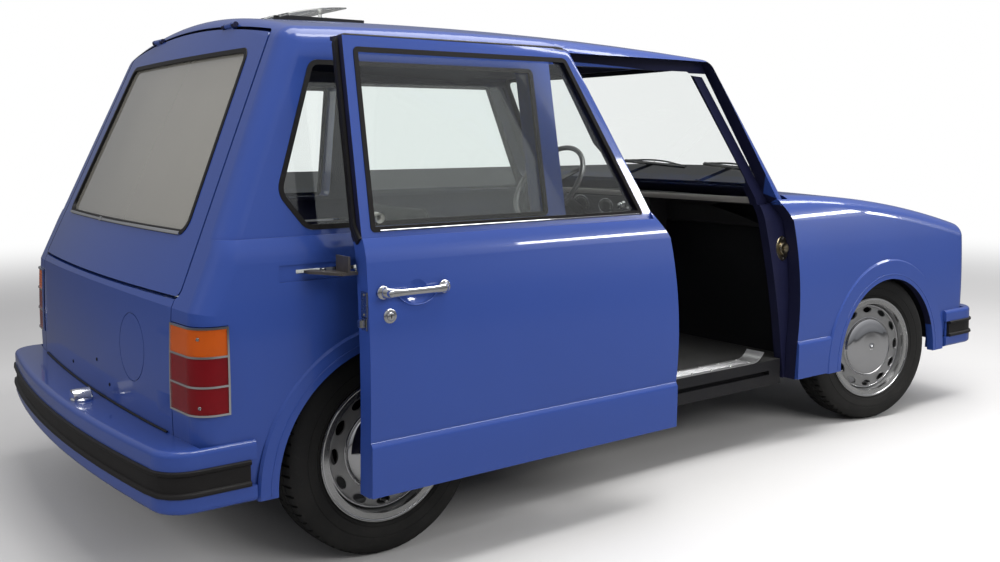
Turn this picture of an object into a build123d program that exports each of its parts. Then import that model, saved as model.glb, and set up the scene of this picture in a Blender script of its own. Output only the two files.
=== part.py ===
from build123d import *
import math
import os

# A small two-box electric van with a glazed body. Sizes are in millimetres.
# X runs forward from the rear axle, Y to the left and Z up from the ground, until the last
# section moves the finished pieces so that the origin lies below the middle of the whole van.

# Wheels and track
wheelbase = 2230
wheel_plane_y = 665
tyre_radius = 287
tyre_width = 145
rim_radius = 178
rim_lip_radius = 195
rim_width = 124
spindle_radius = 18
running_gap = 0.05
seat_gap = 0.3

# Steering
pivot_y = 555
steer_rest_deg = -12

# Body shell, side by side
half_width = 775
sill_tuck = 10
body_base_z = 240
crease_z = 365
bulge_z = 590
shoulder_z = 815
shoulder_round = 142
shoulder_turn = 25
belt_z = 873
belt_y = 746
belt_end_x = 1600
belt_step = 3
belt_lap = 5
glass_tumblehome = 0.178
door_thickness = 52
shoulder_wall = 30
side_wall = 85
wing_wall = 50
panel_gap = 6

# Roof, windscreen and hatch surfaces
roof_top_z = 1480
roof_edge_z = 1410
roof_peak_x = 350
roof_long_radius = 14000
roof_wall = 35
screen_foot_x = 1715
screen_foot_z = 920
screen_lean = 32.4
screen_bow = 4450
screen_wall = 42
hatch_foot_x = -552
hatch_foot_z = 735
hatch_lean = 23.9
hatch_bow = 8000
hatch_wall = 40
corner_radius = 60
cant_z = 1340

# Tail and nose surfaces
tail_bulge_x = -566
tail_bulge_z = 520
tail_wall = 40
nose_x = 2872
nose_bow = 3600
nose_lean = 10
nose_wall = 40
bonnet_peak_x = 1520
bonnet_peak_z = 925
bonnet_long_radius = 5000
bonnet_crown = 14000
bonnet_wall = 22

# Side door, in its closed place
door_rear_x = 620
door_front_low_x = 1666
door_front_mid_x = 1674
door_front_shoulder_x = 1652
door_front_belt_x = 1612
door_front_top_x = 1352
door_base_z = 240
door_top_z = 1368
door_rebate = 28
door_reach_y = 592
door_slide_back = 783
door_slide_out = 161
opening_front_low_x = 1662
opening_front_belt_x = 1552
opening_front_top_x = 1296
window_sill_z = 886
door_frame = 27
glass_thickness = 5
glass_inset = 7

# Quarter window
quarter_front_x = 548
quarter_rear_low_x = -299
quarter_rear_top_x = -176
quarter_top_z = 1318

# Door track on the rear quarter
track_rear_x = -315
track_slot_rear_x = -270
track_low_z = 764
track_high_z = 805
track_slot_z = 787
track_depth = 4

# Hatch, rear window and windscreen outlines
hatch_gap = 8
hatch_hinge_x = -240
hatch_hinge_z = 1431
hatch_low_y = 647
hatch_top_y = 562
hatch_top_z = 1432
hatch_crown = 40
rear_window_low_y = 556
rear_window_low_z = 872
rear_window_top_y = 486
rear_window_top_z = 1358
screen_low_y = 668
screen_low_z = 932
screen_top_y = 585
screen_top_z = 1372

# Front face
grille_half_width = 395
grille_low_z = 520
grille_high_z = 672
grille_bars = 5
headlamp_y = 520
headlamp_width = 214
signal_width = 130
signal_low_z = 440
signal_high_z = 492
seal_width = 13
seal_proud = 2

# Bonnet and bulkhead
bonnet_half_width = 655
bonnet_rear_x = 1780
bonnet_front_z = 705
bulkhead_x = 1755
sheet = 12

# Wheel arches
front_arch_radius = 310
rear_arch_radius = 335
arch_centre_z = 250
flare_radius = 387
flare_out = 9
wheel_house_radius = 352
lip_y = 757

# Floor
floor_z = 305
load_floor_z = 600
load_floor_front_x = 420
well_wall_y = 536
well_wall_low_z = 360
bay_wall_y = 418
bay_front_x = 2740
bay_top_z = 672
rail_y = 455
rail_width = 60
rail_depth = 40
sill_rear_x = 650
sill_front_x = 1648
sill_y = 718
sill_inner_y = 640
sill_base_z = 222

# Lamps, covers and bumpers
lamp_low_z = 465
lamp_high_z = 675
lamp_inner_y = 638
lamp_side_x = -452
lamp_depth = 26
tail_inner_y = 634
cover_y = -375
cover_z = 574
cover_radius = 90
bumper_low_z = 245
bumper_high_z = 395
bumper_half_width = 790
rear_bumper_x = -672
rear_bumper_corner_x = -612
rear_bumper_end_x = -392
front_bumper_x = 2930
front_bumper_corner_x = 2850
front_bumper_end_x = 2625
strip_low_z = 285
strip_high_z = 350
strip_depth = 12
strip_proud = 7
bumper_corner_radius = 85
bumper_wall = 26
bumper_round = 14

# Running gear
cap_radius = 98
cap_seat = 44
wheel_holes = 12
hole_circle_radius = 124
hole_length = 38
hole_depth = 25
brake_radius = 105
strut_radius = 24
strut_top_z = 637
knuckle_low_z = 184
carrier_height = 190
hub_radius = 40
brake_plate_thick = 4
track_arm_reach = 125
track_arm_low_z = 205
lower_arm_thick = 19
lower_arm_inner_y = 330
cross_beam_low_z = 205
cross_beam_high_z = 250
axle_radius = 28
spring_y = 470
spring_width = 50
spring_thick = 12
shackle_thick = 12
spring_reach = 380
spring_eye_z = 330
battery_rear_x = 60
battery_front_x = 400
battery_half_y = 440
battery_low_z = 260
motor_radius = 130
motor_half_length = 210
motor_z = 420
motor_cradle_z = 250
rack_radius = 20

# Towing eyes and jack sockets
tow_hole_radius = 12
tow_front_x = 2505
tow_front_z = 228
tow_rear_x = -428
tow_rear_z = 222
tow_plate_half = 25
tow_plate_thick = 12
jack_x = 1155
jack_y = 665
jack_radius = 12
jack_depth = 60

# Door fittings
handle_open_x = -131
handle_length = 193
handle_out = 34
handle_half_height = 9
lock_radius = 18
handle_z = 742
lock_z = 683

low_track_z = 268
low_arm_x = 760
track_groove = 24
low_arm_width = 60
arm_x = -240
arm_half = 12
arm_flange_x = -190
striker_x = 1638
striker_z = 720
striker_half_width = 18
striker_half_height = 20
striker_depth = 10
tread_front_x = 1560
scoop_radius = 92
scoop_depth = 13

# Hinges
hinge_radius = 8
hinge_pin_radius = 4
hinge_half = 24
hinge_end_gap = 3
hatch_hinge_reach = 20
bonnet_hinge_reach = 18
hatch_hinge_y = 300
bonnet_hinge_y = 420
bonnet_hinge_x = 1777
bonnet_hinge_z = 924

# Wipers and roof vent
wiper_x = 1748
vent_rear_x = 8
vent_front_x = 270
vent_half_width = 150
vent_frame_z = 1492
vent_hole_rear_x = 32
vent_hole_front_x = 246
vent_hole_y = 122
vent_hinge_z = 1496
vent_cheek_y = 42
vent_cheek = 14
vent_lid_x = 214
vent_lid_z = 1530
vent_lid_thick = 4
vent_stay_x = 190

# Cabin
seat_x = 1010
seat_base_z = 420
cushion_length = 470
cushion_width = 480
cushion_height = 120
back_thick = 90
back_width = 460
back_height = 420
seat_lean = 12
wheel_x = 1420
wheel_y = 330
wheel_z = 920
column_rake = 35
steering_radius = 185
steering_rim = 11
steering_boss = 30
column_radius = 22
column_length = 230
dash_half_width = 640
dash_shelf_z = 868
dash_top_z = 930
dash_front_x = 1594
cluster_width = 735

os.makedirs("parts", exist_ok=True)
parts = {}


# Small helpers for outlines and regions
def outline(plane, points, radii=0):
    """A closed flat face with rounded corners, drawn in the given plane."""
    return plane * make_face(FilletPolyline(*points, radius=radii, close=True))


def across(face, reach=1200):
    """The prism of a side-view face, right through the body."""
    return extrude(face, amount=reach, both=True)


def along(face, x0, x1):
    """The prism of a front-view face between two X positions."""
    return Pos(x0, 0, 0) * extrude(face, amount=x1 - x0)


def block(x0, x1, y0, y1, z0, z1):
    """A box between two opposite corners."""
    size = Box(x1 - x0, y1 - y0, z1 - z0)
    return Pos((x0 + x1) / 2, (y0 + y1) / 2, (z0 + z1) / 2) * size


def left_of(piece):
    """The same piece on the other side of the centre plane."""
    return mirror(piece, about=Plane.XZ)


def ring(radius_out, radius_in, x, z, y0, y1):
    """A round band about a cross axis, between two Y positions."""
    band = Plane.XZ * (Circle(radius_out) - Circle(radius_in))
    return Pos(x, y1, z) * extrude(band, amount=y1 - y0)


def drum(radius, x, z, y0, y1):
    """A cylinder about a cross axis, between two Y positions."""
    return Pos(x, y1, z) * extrude(Plane.XZ * Circle(radius), amount=y1 - y0)


def largest(piece):
    """The biggest solid that a cut leaves."""
    return max(piece.solids(), key=lambda solid: solid.volume)


def apart(side, near, far):
    """Two Y positions on one side of the centre plane, in rising order."""
    return sorted((side * near, side * far))


# Body surfaces, each form drawn smaller by the insets it is given
def leaning_cut(foot_x, foot_z, lean, bow, inset, facing):
    """What lies outside a bowed surface that leans back from its foot."""
    turn = math.radians(lean)
    upward = Vector(-facing * math.sin(turn), 0, math.cos(turn))
    outward = Vector(facing * math.cos(turn), 0, math.sin(turn))
    foot = Vector(foot_x, 0, foot_z) - outward * inset
    plane = Plane(origin=foot, x_dir=(0, 1, 0), z_dir=upward)
    side = 1 if plane.y_dir.dot(outward) > 0 else -1
    reach = 900
    sag = bow - math.sqrt(bow * bow - reach * reach)
    arc = ThreePointArc((-reach, -side * sag), (0, 0), (reach, -side * sag))
    far = Polyline(arc @ 1, (reach, side * 1500), (-reach, side * 1500), arc @ 0)
    return extrude(plane * make_face([arc, *far.edges()]), amount=1600, both=True)


def upper_form(side=0, roof=0, screen=0, hatch=0, radius=0):
    """The glazed upper body: leaning sides under a crowned roof, cut by windscreen and hatch."""
    low_z = 700
    low_y = belt_y - belt_step + glass_tumblehome * (belt_z - low_z) - side
    edge_z = roof_edge_z - roof
    edge_y = belt_y - belt_step - glass_tumblehome * (edge_z - belt_z) - side
    section = make_face([
        Line((-low_y, low_z), (low_y, low_z)),
        Line((low_y, low_z), (edge_y, edge_z)),
        ThreePointArc((edge_y, edge_z), (0, roof_top_z - roof), (-edge_y, edge_z)),
        Line((-edge_y, edge_z), (-low_y, low_z)),
    ])
    axis = Axis((roof_peak_x, 0, roof_top_z - roof_long_radius), (0, 1, 0))
    swing = 7
    start = (Pos(roof_peak_x, 0, 0) * (Plane.YZ * section)).rotate(axis, -swing)
    form = revolve(start, axis=axis, revolution_arc=2 * swing)
    form -= leaning_cut(screen_foot_x, screen_foot_z, screen_lean, screen_bow, screen, 1)
    form -= leaning_cut(hatch_foot_x, hatch_foot_z, hatch_lean, hatch_bow, hatch, -1)
    form -= block(-2000, 3500, -1200, 1200, 0, belt_z - 23)
    if radius:
        form = fillet([e for e in form.edges() if e.center().Z > belt_z - 13], radius)
    return form - block(-2000, 3500, -1200, 1200, 0, belt_z - belt_lap)


def tail_cut(inset):
    """What lies behind the lower tail, a face bowed both in plan and in side view."""
    arc = ThreePointArc(
        (tail_bulge_x + 22 + inset, 100),
        (tail_bulge_x + inset, tail_bulge_z),
        (tail_bulge_x + 22 + inset, 2 * tail_bulge_z - 100),
    )
    far = Polyline(arc @ 1, (-1200, 2 * tail_bulge_z - 100), (-1200, 100), arc @ 0)
    axis = Axis((tail_bulge_x + hatch_bow, 0, 0), (0, 0, 1))
    face = (Plane.XZ * make_face([arc, *far.edges()])).rotate(axis, -8)
    return revolve(face, axis=axis, revolution_arc=16)


def nose_cut(inset):
    """What lies ahead of the front face, which is bowed in plan and leans a little."""
    face_x = nose_x - inset
    points = [(face_x - nose_lean, 100), (face_x + nose_lean, 1100), (3600, 1100), (3600, 100)]
    axis = Axis((nose_x - nose_bow, 0, 0), (0, 0, 1))
    face = outline(Plane.XZ, points).rotate(axis, -16)
    return revolve(face, axis=axis, revolution_arc=32)


def bonnet_limit(inset):
    """The space below the crowned and arched surface of bonnet and wing tops."""
    reach = 900
    sag = bonnet_crown - math.sqrt(bonnet_crown**2 - reach**2)
    top = bonnet_peak_z - inset
    section = Plane.YZ * make_face([
        ThreePointArc((-reach, top - sag), (0, top), (reach, top - sag)),
        Line((reach, top - sag), (reach, -1200)),
        Line((reach, -1200), (-reach, -1200)),
        Line((-reach, -1200), (-reach, top - sag)),
    ])
    section = Pos(bonnet_peak_x, 0, 0) * section
    axis = Axis((bonnet_peak_x, 0, bonnet_peak_z - bonnet_long_radius), (0, 1, 0))
    ahead = revolve(section, axis=axis, revolution_arc=25)
    behind = extrude(section, amount=2500, dir=(-1, 0, 0))
    return ahead + behind


def lower_form(side=0, top=0, nose=0, tail=0, hatch=0, base=body_base_z, radius=0):
    """The lower body: bowed sides with a crease and a shoulder, closed by bonnet, nose and tail."""
    bulge = ThreePointArc(
        (half_width - side, crease_z), (half_width + 3 - side, bulge_z), (half_width - 11 - side, shoulder_z)
    )
    shoulder = JernArc(bulge @ 1, bulge % 1, shoulder_round, shoulder_turn)
    above = Line(shoulder @ 1, shoulder @ 1 + (shoulder % 1) * 160)
    tuck = Line((half_width - sill_tuck - side, base), (half_width - side, crease_z))
    half = [tuck, bulge, shoulder, above]
    high = above @ 1
    section = make_face([
        *half,
        *[e.mirror(Plane.YZ) for e in half],
        Line(high, (-high.X, high.Y)),
        Line((half_width - sill_tuck - side, base), (-half_width + sill_tuck + side, base)),
    ])
    form = Pos(-800, 0, 0) * extrude(Plane.YZ * section, amount=4000)
    form = form & bonnet_limit(top)
    form -= nose_cut(nose)
    form -= tail_cut(tail)
    form -= leaning_cut(hatch_foot_x, hatch_foot_z, hatch_lean, hatch_bow, hatch, -1)
    if radius:
        form = fillet([e for e in form.edges() if is_body_corner(e)], radius)
    return form - block(-2000, belt_end_x, -1200, 1200, belt_z, 1300)


def is_body_corner(edge):
    """True for the upright corners, the nose edge and the edges of bonnet and wing tops."""
    middle = edge.center()
    box = edge.bounding_box()
    upright = abs(middle.Y) > 700 and box.size.Z > 20 and (middle.X < -300 or middle.X > 2000)
    top_side = abs(middle.Y) > 700 and (middle.Z > 890 or (middle.Z > 780 and box.size.Z > 20))
    nose = middle.X > 2600 and abs(middle.Y) < 100 and middle.Z > 600
    return upright or top_side or nose


# The outer skin, the plane behind the doors and the inside of the cabin, all in one piece each
skin = upper_form(radius=corner_radius) + lower_form(radius=corner_radius)
behind_doors = (
    upper_form(side=door_thickness, roof=door_thickness, screen=door_thickness, hatch=door_thickness)
    + lower_form(side=door_thickness, top=shoulder_wall, nose=door_thickness, tail=door_thickness,
                 hatch=door_thickness, base=0)
)
cabin = (
    upper_form(side=side_wall, roof=roof_wall, screen=screen_wall, hatch=hatch_wall)
    + lower_form(side=side_wall, top=bonnet_wall, tail=tail_wall, hatch=hatch_wall, base=0)
) - block(bulkhead_x, 3200, -900, 900, 0, 1200)
front_bay = lower_form(side=wing_wall, top=bonnet_wall, nose=nose_wall, base=0)
front_bay &= block(bulkhead_x - 200, 3200, -900, 900, 0, 1200)
cabin_shell = skin - cabin
front_shell = (skin & block(bulkhead_x - 200, 3200, -900, 900, 0, 1200)) - front_bay


# Door outline, its opening and its window, as side-view prisms
def door_prism(grow):
    """The closed door's outline in side view, grown by a gap."""
    edge = [
        Line((door_rear_x - grow, door_base_z - 60), (door_front_low_x + grow, door_base_z - 60)),
        Line((door_front_low_x + grow, door_base_z - 60), (door_front_low_x + grow, crease_z)),
        ThreePointArc(
            (door_front_low_x + grow, crease_z),
            (door_front_mid_x + grow, bulge_z),
            (door_front_shoulder_x + grow, shoulder_z),
        ),
        Line((door_front_shoulder_x + grow, shoulder_z), (door_front_belt_x + grow, belt_z)),
        Line((door_front_belt_x + grow, belt_z), (door_front_top_x + grow, door_top_z + grow)),
        Line((door_front_top_x + grow, door_top_z + grow), (door_rear_x - grow, door_top_z + grow)),
        Line((door_rear_x - grow, door_top_z + grow), (door_rear_x - grow, door_base_z - 60)),
    ]
    return across(Plane.XZ * make_face(edge))


opening_points = [
    (door_rear_x + door_rebate, door_base_z - 60),
    (opening_front_low_x, door_base_z - 60),
    (opening_front_low_x, door_base_z + 15),
    (opening_front_belt_x, window_sill_z + 8),
    (opening_front_top_x, cant_z),
    (door_rear_x + door_rebate, cant_z),
]
door_opening = across(outline(Plane.XZ, opening_points, (0, 0, 30, 40, 25, 25)))
door_rebate_cut = door_prism(panel_gap) - behind_doors
door_rebate_cut -= block(0, 2000, -door_reach_y, door_reach_y, 0, 1600)
window_lean = (door_front_belt_x - door_front_top_x) / (door_top_z - belt_z)
door_window_front = door_front_belt_x - door_frame * 1.25
door_window_points = [
    (door_rear_x + door_frame, window_sill_z),
    (door_window_front - window_lean * (window_sill_z - belt_z), window_sill_z),
    (door_window_front - window_lean * (door_top_z - door_frame - belt_z), door_top_z - door_frame),
    (door_rear_x + door_frame, door_top_z - door_frame),
]
door_window_face = outline(Plane.XZ, door_window_points, (12, 8, 22, 14))
quarter_window_points = [
    (quarter_front_x, window_sill_z),
    (quarter_rear_low_x + 70, window_sill_z),
    (quarter_rear_low_x, window_sill_z + 95),
    (quarter_rear_top_x, quarter_top_z),
    (quarter_front_x, quarter_top_z),
]
quarter_window_face = outline(Plane.XZ, quarter_window_points, (18, 45, 55, 35, 18))


# Hatch outline, seen from behind
def hatch_prism(grow):
    """The hatch's outline seen from the rear, grown by a gap."""
    low = hatch_foot_z - grow
    high = hatch_top_z + grow
    low_y = hatch_low_y + grow
    top_y = hatch_top_y + grow
    edge_z = high - hatch_crown
    face = make_face([
        Line((-low_y, low), (low_y, low)),
        Line((low_y, low), (top_y, edge_z)),
        ThreePointArc((top_y, edge_z), (0, high), (-top_y, edge_z)),
        Line((-top_y, edge_z), (-low_y, low)),
    ])
    face = fillet(face.vertices(), 18 + grow)
    outside = leaning_cut(hatch_foot_x, hatch_foot_z, hatch_lean, hatch_bow, hatch_wall + grow, -1)
    return along(Plane.YZ * face, -900, 0) & outside


hatch_window_points = [
    (-rear_window_low_y, rear_window_low_z),
    (rear_window_low_y, rear_window_low_z),
    (rear_window_top_y, rear_window_top_z),
    (-rear_window_top_y, rear_window_top_z),
]
hatch_window_face = outline(Plane.YZ, hatch_window_points, 40)
screen_points = [
    (-screen_low_y, screen_low_z),
    (screen_low_y, screen_low_z),
    (screen_top_y, screen_top_z),
    (-screen_top_y, screen_top_z),
]
screen_face = outline(Plane.YZ, screen_points, (35, 35, 40, 40))

# Wheel arches: the round openings, and the deeper house behind the lip
arches = []
for x, radius in ((0, rear_arch_radius), (wheelbase, front_arch_radius)):
    arches.append(drum(radius, x, arch_centre_z, -1000, 1000))
    arches.append(drum(wheel_house_radius + 3, x, tyre_radius, -lip_y, lip_y))
wheel_room = arches[0] + arches[1] + arches[2] + arches[3]


def flare(x, opening_radius):
    """The raised band round a wheel arch on the right side, with a sloped outer edge."""
    band = ring(flare_radius, opening_radius, x, arch_centre_z, -half_width - flare_out, -half_width + 25)
    band &= block(x - 500, x + 500, -900, 0, body_base_z, 900)
    outer = [e for e in band.edges().filter_by(GeomType.CIRCLE)
             if abs(e.radius - flare_radius) < 1 and e.center().Y < -half_width]
    return chamfer(outer, 6)


# Body sides behind the doors
side_region = block(-700, door_rear_x + door_rebate, -900, -300, 0, cant_z)
quarter = cabin_shell & side_region
quarter -= block(-700, -300, -tail_inner_y, 0, 0, hatch_foot_z - hatch_gap)
quarter -= hatch_prism(hatch_gap)
quarter -= door_rebate_cut
quarter -= door_opening
quarter -= across(quarter_window_face)
quarter += flare(0, rear_arch_radius)
quarter -= wheel_room
lamp_pocket = block(-700, lamp_side_x + 1, -900, -tail_inner_y, lamp_low_z - 1, lamp_high_z + 1)
quarter -= lamp_pocket - lower_form(side=lamp_depth, tail=lamp_depth, base=0)
track_plate = block(track_rear_x, door_rear_x, -900, -500, track_low_z, track_high_z)
quarter -= track_plate - lower_form(side=track_depth, base=0)
quarter -= block(track_slot_rear_x, door_rear_x + 60, -900, -500, track_slot_z - 5, track_slot_z + 5)
parts["quarter_panel_right"] = quarter
parts["quarter_panel_left"] = left_of(quarter)

# Front wings
wing = front_shell & block(door_front_low_x - 100, 3000, -900, -bonnet_half_width - panel_gap, 0, 1000)
wing -= upper_form(side=-2, screen=-2, roof=-2)
wing -= door_prism(panel_gap)
wing += flare(wheelbase, front_arch_radius)
wing -= wheel_room
parts["wing_right"] = wing
parts["wing_left"] = left_of(wing)

# Tail panel between the lamps, with the ring groove of its round flush cover
tail = cabin_shell & block(-700, -300, -tail_inner_y + 4, tail_inner_y - 4, 0, hatch_foot_z - hatch_gap)
groove = Pos(-300, cover_y, cover_z) * (Plane.YZ * (Circle(cover_radius) - Circle(cover_radius - 2.5)))
tail -= extrude(groove, amount=-400) - lower_form(tail=3, base=0)
parts["tail_panel"] = tail

# Roof with its header rails, down to the top of the door openings
roof = cabin_shell & block(-700, 1800, -900, 900, cant_z, 1600)
roof -= hatch_prism(hatch_gap)
roof -= door_rebate_cut
roof -= along(screen_face, 1150, 1950)
roof -= block(vent_hole_rear_x, vent_hole_front_x, -vent_hole_y, vent_hole_y, 1400, 1600)
hatch = (cabin_shell & hatch_prism(0)) - along(hatch_window_face, -900, -50)
for side in (-1, 1):
    low = side * hatch_hinge_y - hinge_half
    high = side * hatch_hinge_y + hinge_half
    roof -= drum(hinge_radius + 5, hatch_hinge_x, hatch_hinge_z, low - 5, high + 5)
    roof += drum(hinge_pin_radius, hatch_hinge_x, hatch_hinge_z, low - 10, high + 10)
    roof += drum(hinge_radius, hatch_hinge_x, hatch_hinge_z, low - hatch_hinge_reach, low - hinge_end_gap)
    roof += drum(hinge_radius, hatch_hinge_x, hatch_hinge_z, high + hinge_end_gap, high + hatch_hinge_reach)
    pocket_reach = hatch_hinge_reach + 2
    hatch -= drum(hinge_radius + 2, hatch_hinge_x, hatch_hinge_z, low - pocket_reach, high + pocket_reach)
    lug = drum(hinge_radius, hatch_hinge_x, hatch_hinge_z, low, high)
    lug += block(hatch_hinge_x, hatch_hinge_x + 10, low, high, hatch_hinge_z - 30, hatch_hinge_z)
    hatch += lug
    hatch -= drum(hinge_pin_radius + running_gap, hatch_hinge_x, hatch_hinge_z, low, high)
parts["roof_panel"] = roof
parts["hatch"] = hatch

# Windscreen pillars, the posts under them and the cowl between
pillars = cabin_shell & upper_form(radius=corner_radius) & block(1150, 1800, -900, 900, belt_z - 5, cant_z)
posts = cabin_shell & behind_doors & block(1400, bulkhead_x, -900, 900, body_base_z, belt_z - 1)
cowl_front_x = bonnet_rear_x - panel_gap
cowl = skin & block(belt_end_x, cowl_front_x, -bonnet_half_width, bonnet_half_width, belt_z, 1000)
cowl -= cabin
cowl -= lower_form(side=wing_wall, top=bonnet_wall, base=0)
cowl -= upper_form(screen=screen_wall, side=side_wall)
frame = pillars + posts + cowl
frame -= door_rebate_cut
frame -= door_opening
frame -= along(screen_face, 1150, 1950)
bonnet = front_shell & block(bonnet_rear_x, 3000, -bonnet_half_width, bonnet_half_width, bonnet_front_z, 1000)
for side in (-1, 1):
    low = side * bonnet_hinge_y - hinge_half
    high = side * bonnet_hinge_y + hinge_half
    low_end = low - bonnet_hinge_reach
    high_end = high + bonnet_hinge_reach
    foot_rear_x = bonnet_hinge_x - 30
    foot = block(foot_rear_x, bonnet_hinge_x - 6, low_end, high_end, bonnet_hinge_z - 20, bonnet_hinge_z)
    foot &= Pos(0, 0, hinge_pin_radius) * bonnet_limit(0)
    frame += foot
    for y0, y1 in ((low_end, low - hinge_end_gap), (high + hinge_end_gap, high_end)):
        frame += drum(hinge_radius, bonnet_hinge_x, bonnet_hinge_z, y0, y1)
        frame += block(foot_rear_x, bonnet_hinge_x, y0, y1, bonnet_hinge_z - 20, bonnet_hinge_z - 5)
    frame += drum(hinge_pin_radius, bonnet_hinge_x, bonnet_hinge_z, low - 10, high + 10)
    lug = drum(hinge_radius, bonnet_hinge_x, bonnet_hinge_z, low, high)
    lug += block(bonnet_hinge_x, bonnet_hinge_x + 30, low, high, bonnet_hinge_z - 24, bonnet_hinge_z - 4)
    lug -= drum(hinge_pin_radius + running_gap, bonnet_hinge_x, bonnet_hinge_z, low, high)
    bonnet += lug
parts["pillar_frame"] = frame

# Bonnet with the front panel below it
parts["bonnet"] = bonnet
front = front_shell & block(2600, 3000, -bonnet_half_width, bonnet_half_width, 0, bonnet_front_z - panel_gap)
grille_hole = block(2500, 3000, -grille_half_width, grille_half_width, grille_low_z, grille_high_z)
front -= grille_hole
for side in (-1, 1):
    for width, z0, z1 in (
        (headlamp_width, grille_low_z, grille_high_z),
        (signal_width, signal_low_z, signal_high_z),
    ):
        y0, y1 = apart(side, headlamp_y - width / 2, headlamp_y + width / 2)
        front -= block(2500, 3000, y0, y1, z0, z1)
parts["front_panel"] = front

# Grille bars behind the front face
bars = []
bar_step = (grille_high_z - grille_low_z) / (grille_bars + 1)
for index in range(grille_bars):
    z = grille_low_z + bar_step * (index + 1)
    bars.append(block(2500, 3000, -grille_half_width - 4, grille_half_width + 4, z - 4, z + 4))
for y in (-grille_half_width * 0.5, 0, grille_half_width * 0.5):
    bars.append(block(2500, 3000, y - 4, y + 4, grille_low_z + 1, grille_high_z - 1))
bar_zone = lower_form(nose=8, base=0) - lower_form(nose=30, base=0)
grille = bars[0]
for bar in bars[1:]:
    grille += bar


def grille_space(inset):
    """The room inside the grille's hole, drawn smaller all round."""
    half = grille_half_width - inset
    return block(2500, 3000, -half, half, grille_low_z + inset, grille_high_z - inset)


grille = (grille & grille_space(1)) + (grille_space(seat_gap) - grille_space(12))
parts["grille"] = grille & bar_zone

# Doors: the right one slid back, the left one closed
handle_x = door_slide_back + handle_open_x
door = (skin - behind_doors) & door_prism(0) & block(0, 2000, -900, -door_reach_y, 0, 1500)
door -= across(door_window_face)
scoop_y = -half_width - 3 + scoop_depth - scoop_radius
door -= Pos(handle_x + handle_length * 0.55, scoop_y, handle_z) * Sphere(scoop_radius)
socket_y = -half_width + door_thickness - striker_depth - 5
door -= block(striker_x - 26, striker_x + 26, socket_y, -600, striker_z - 28, striker_z + 28)
open_shift = Pos(-door_slide_back, -door_slide_out, 0)
parts["door_right"] = open_shift * door
parts["door_left"] = left_of(door)


# Panes and their rubber seals
def pane(face, depth, **inset):
    """A sheet of glass that follows a body surface inside an outline."""
    key = next(iter(inset))
    outer = upper_form(**{key: glass_inset})
    inner = upper_form(**{key: glass_inset + glass_thickness})
    return (outer - inner) & depth(offset(face, amount=-seat_gap))


def seal(face, depth, key):
    """A rubber ring that covers the edge of a pane, a little proud of the body."""
    band = depth(offset(face, amount=-seat_gap)) - depth(offset(face, amount=-seal_width))
    return (upper_form(**{key: -seal_proud}) - upper_form(**{key: glass_inset - seat_gap})) & band


def right_side(face):
    """The prism of a side-view face on the right half only."""
    return across(face) & block(-2000, 3000, -1200, 0, 0, 2000)


def screen_zone(face):
    """The prism of a front-view face through the windscreen."""
    return along(face, 1150, 1950)


def hatch_zone(face):
    """The prism of a rear-view face through the hatch."""
    return along(face, -900, -50)


quarter_pane = pane(quarter_window_face, right_side, side=0)
door_pane = pane(door_window_face, right_side, side=0)
parts["windscreen_glass"] = pane(screen_face, screen_zone, screen=0)
parts["hatch_glass"] = pane(hatch_window_face, hatch_zone, hatch=0)
parts["quarter_glasses"] = Compound([*quarter_pane.solids(), *left_of(quarter_pane).solids()])
parts["door_glasses"] = Compound([*(open_shift * door_pane).solids(), *left_of(door_pane).solids()])
quarter_seal = seal(quarter_window_face, right_side, "side")
door_seal = seal(door_window_face, right_side, "side")
parts["window_seals"] = Compound([
    *seal(screen_face, screen_zone, "screen").solids(),
    *quarter_seal.solids(),
    *left_of(quarter_seal).solids(),
    *(open_shift * door_seal).solids(),
    *left_of(door_seal).solids(),
])
parts["hatch_seal"] = seal(hatch_window_face, hatch_zone, "hatch")


# Tail lamps: a lens that wraps each rear corner, in a bright frame with two dividers
def lamp_block(grow, z0, z1):
    """The box that holds the right lamp."""
    return block(-700, lamp_side_x - 3 + grow, -900, -lamp_inner_y - 3 + grow, z0, z1)


lens_skin = lower_form(side=-4, tail=-4, hatch=-4, radius=corner_radius)
lens_back = lower_form(side=lamp_depth - seat_gap, tail=lamp_depth - seat_gap, base=0)
third = (lamp_high_z - lamp_low_z) / 3
lens = (lens_skin - lens_back) & lamp_block(0, lamp_low_z + 3, lamp_high_z - 3)
frame_skin = lower_form(side=-7, tail=-7, hatch=-7, radius=corner_radius) - lens_back
rim = lamp_block(3, lamp_low_z, lamp_high_z) - lamp_block(-2, lamp_low_z + 5, lamp_high_z - 5)
for index in (1, 2):
    z = lamp_low_z + third * index
    rim += lamp_block(0, z - 2.5, z + 2.5)
rim &= frame_skin
lens -= rim
parts["tail_lamps"] = Compound([*lens.solids(), *left_of(lens).solids()])
parts["lamp_frames"] = Compound([*rim.solids(), *left_of(rim).solids()])


# Bumpers: a hollow bar wrapped round each end, with a rubber strip in a groove
def bumper_outline(end_x, corner_x, centre_x):
    """The bumper's plan outline, rounded at its two corners."""
    wide = bumper_half_width
    face = make_face([
        ThreePointArc((corner_x, -wide), (centre_x, 0), (corner_x, wide)),
        Line((corner_x, wide), (end_x, wide)),
        Line((end_x, wide), (end_x, -wide)),
        Line((end_x, -wide), (corner_x, -wide)),
    ])
    ends = [v for v in face.vertices() if abs(v.X - corner_x) < 1]
    return fillet(ends, bumper_corner_radius)


def raised(face, z0, z1):
    """A plan outline raised between two heights."""
    return Pos(0, 0, z0) * extrude(face, amount=z1 - z0)


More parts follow.
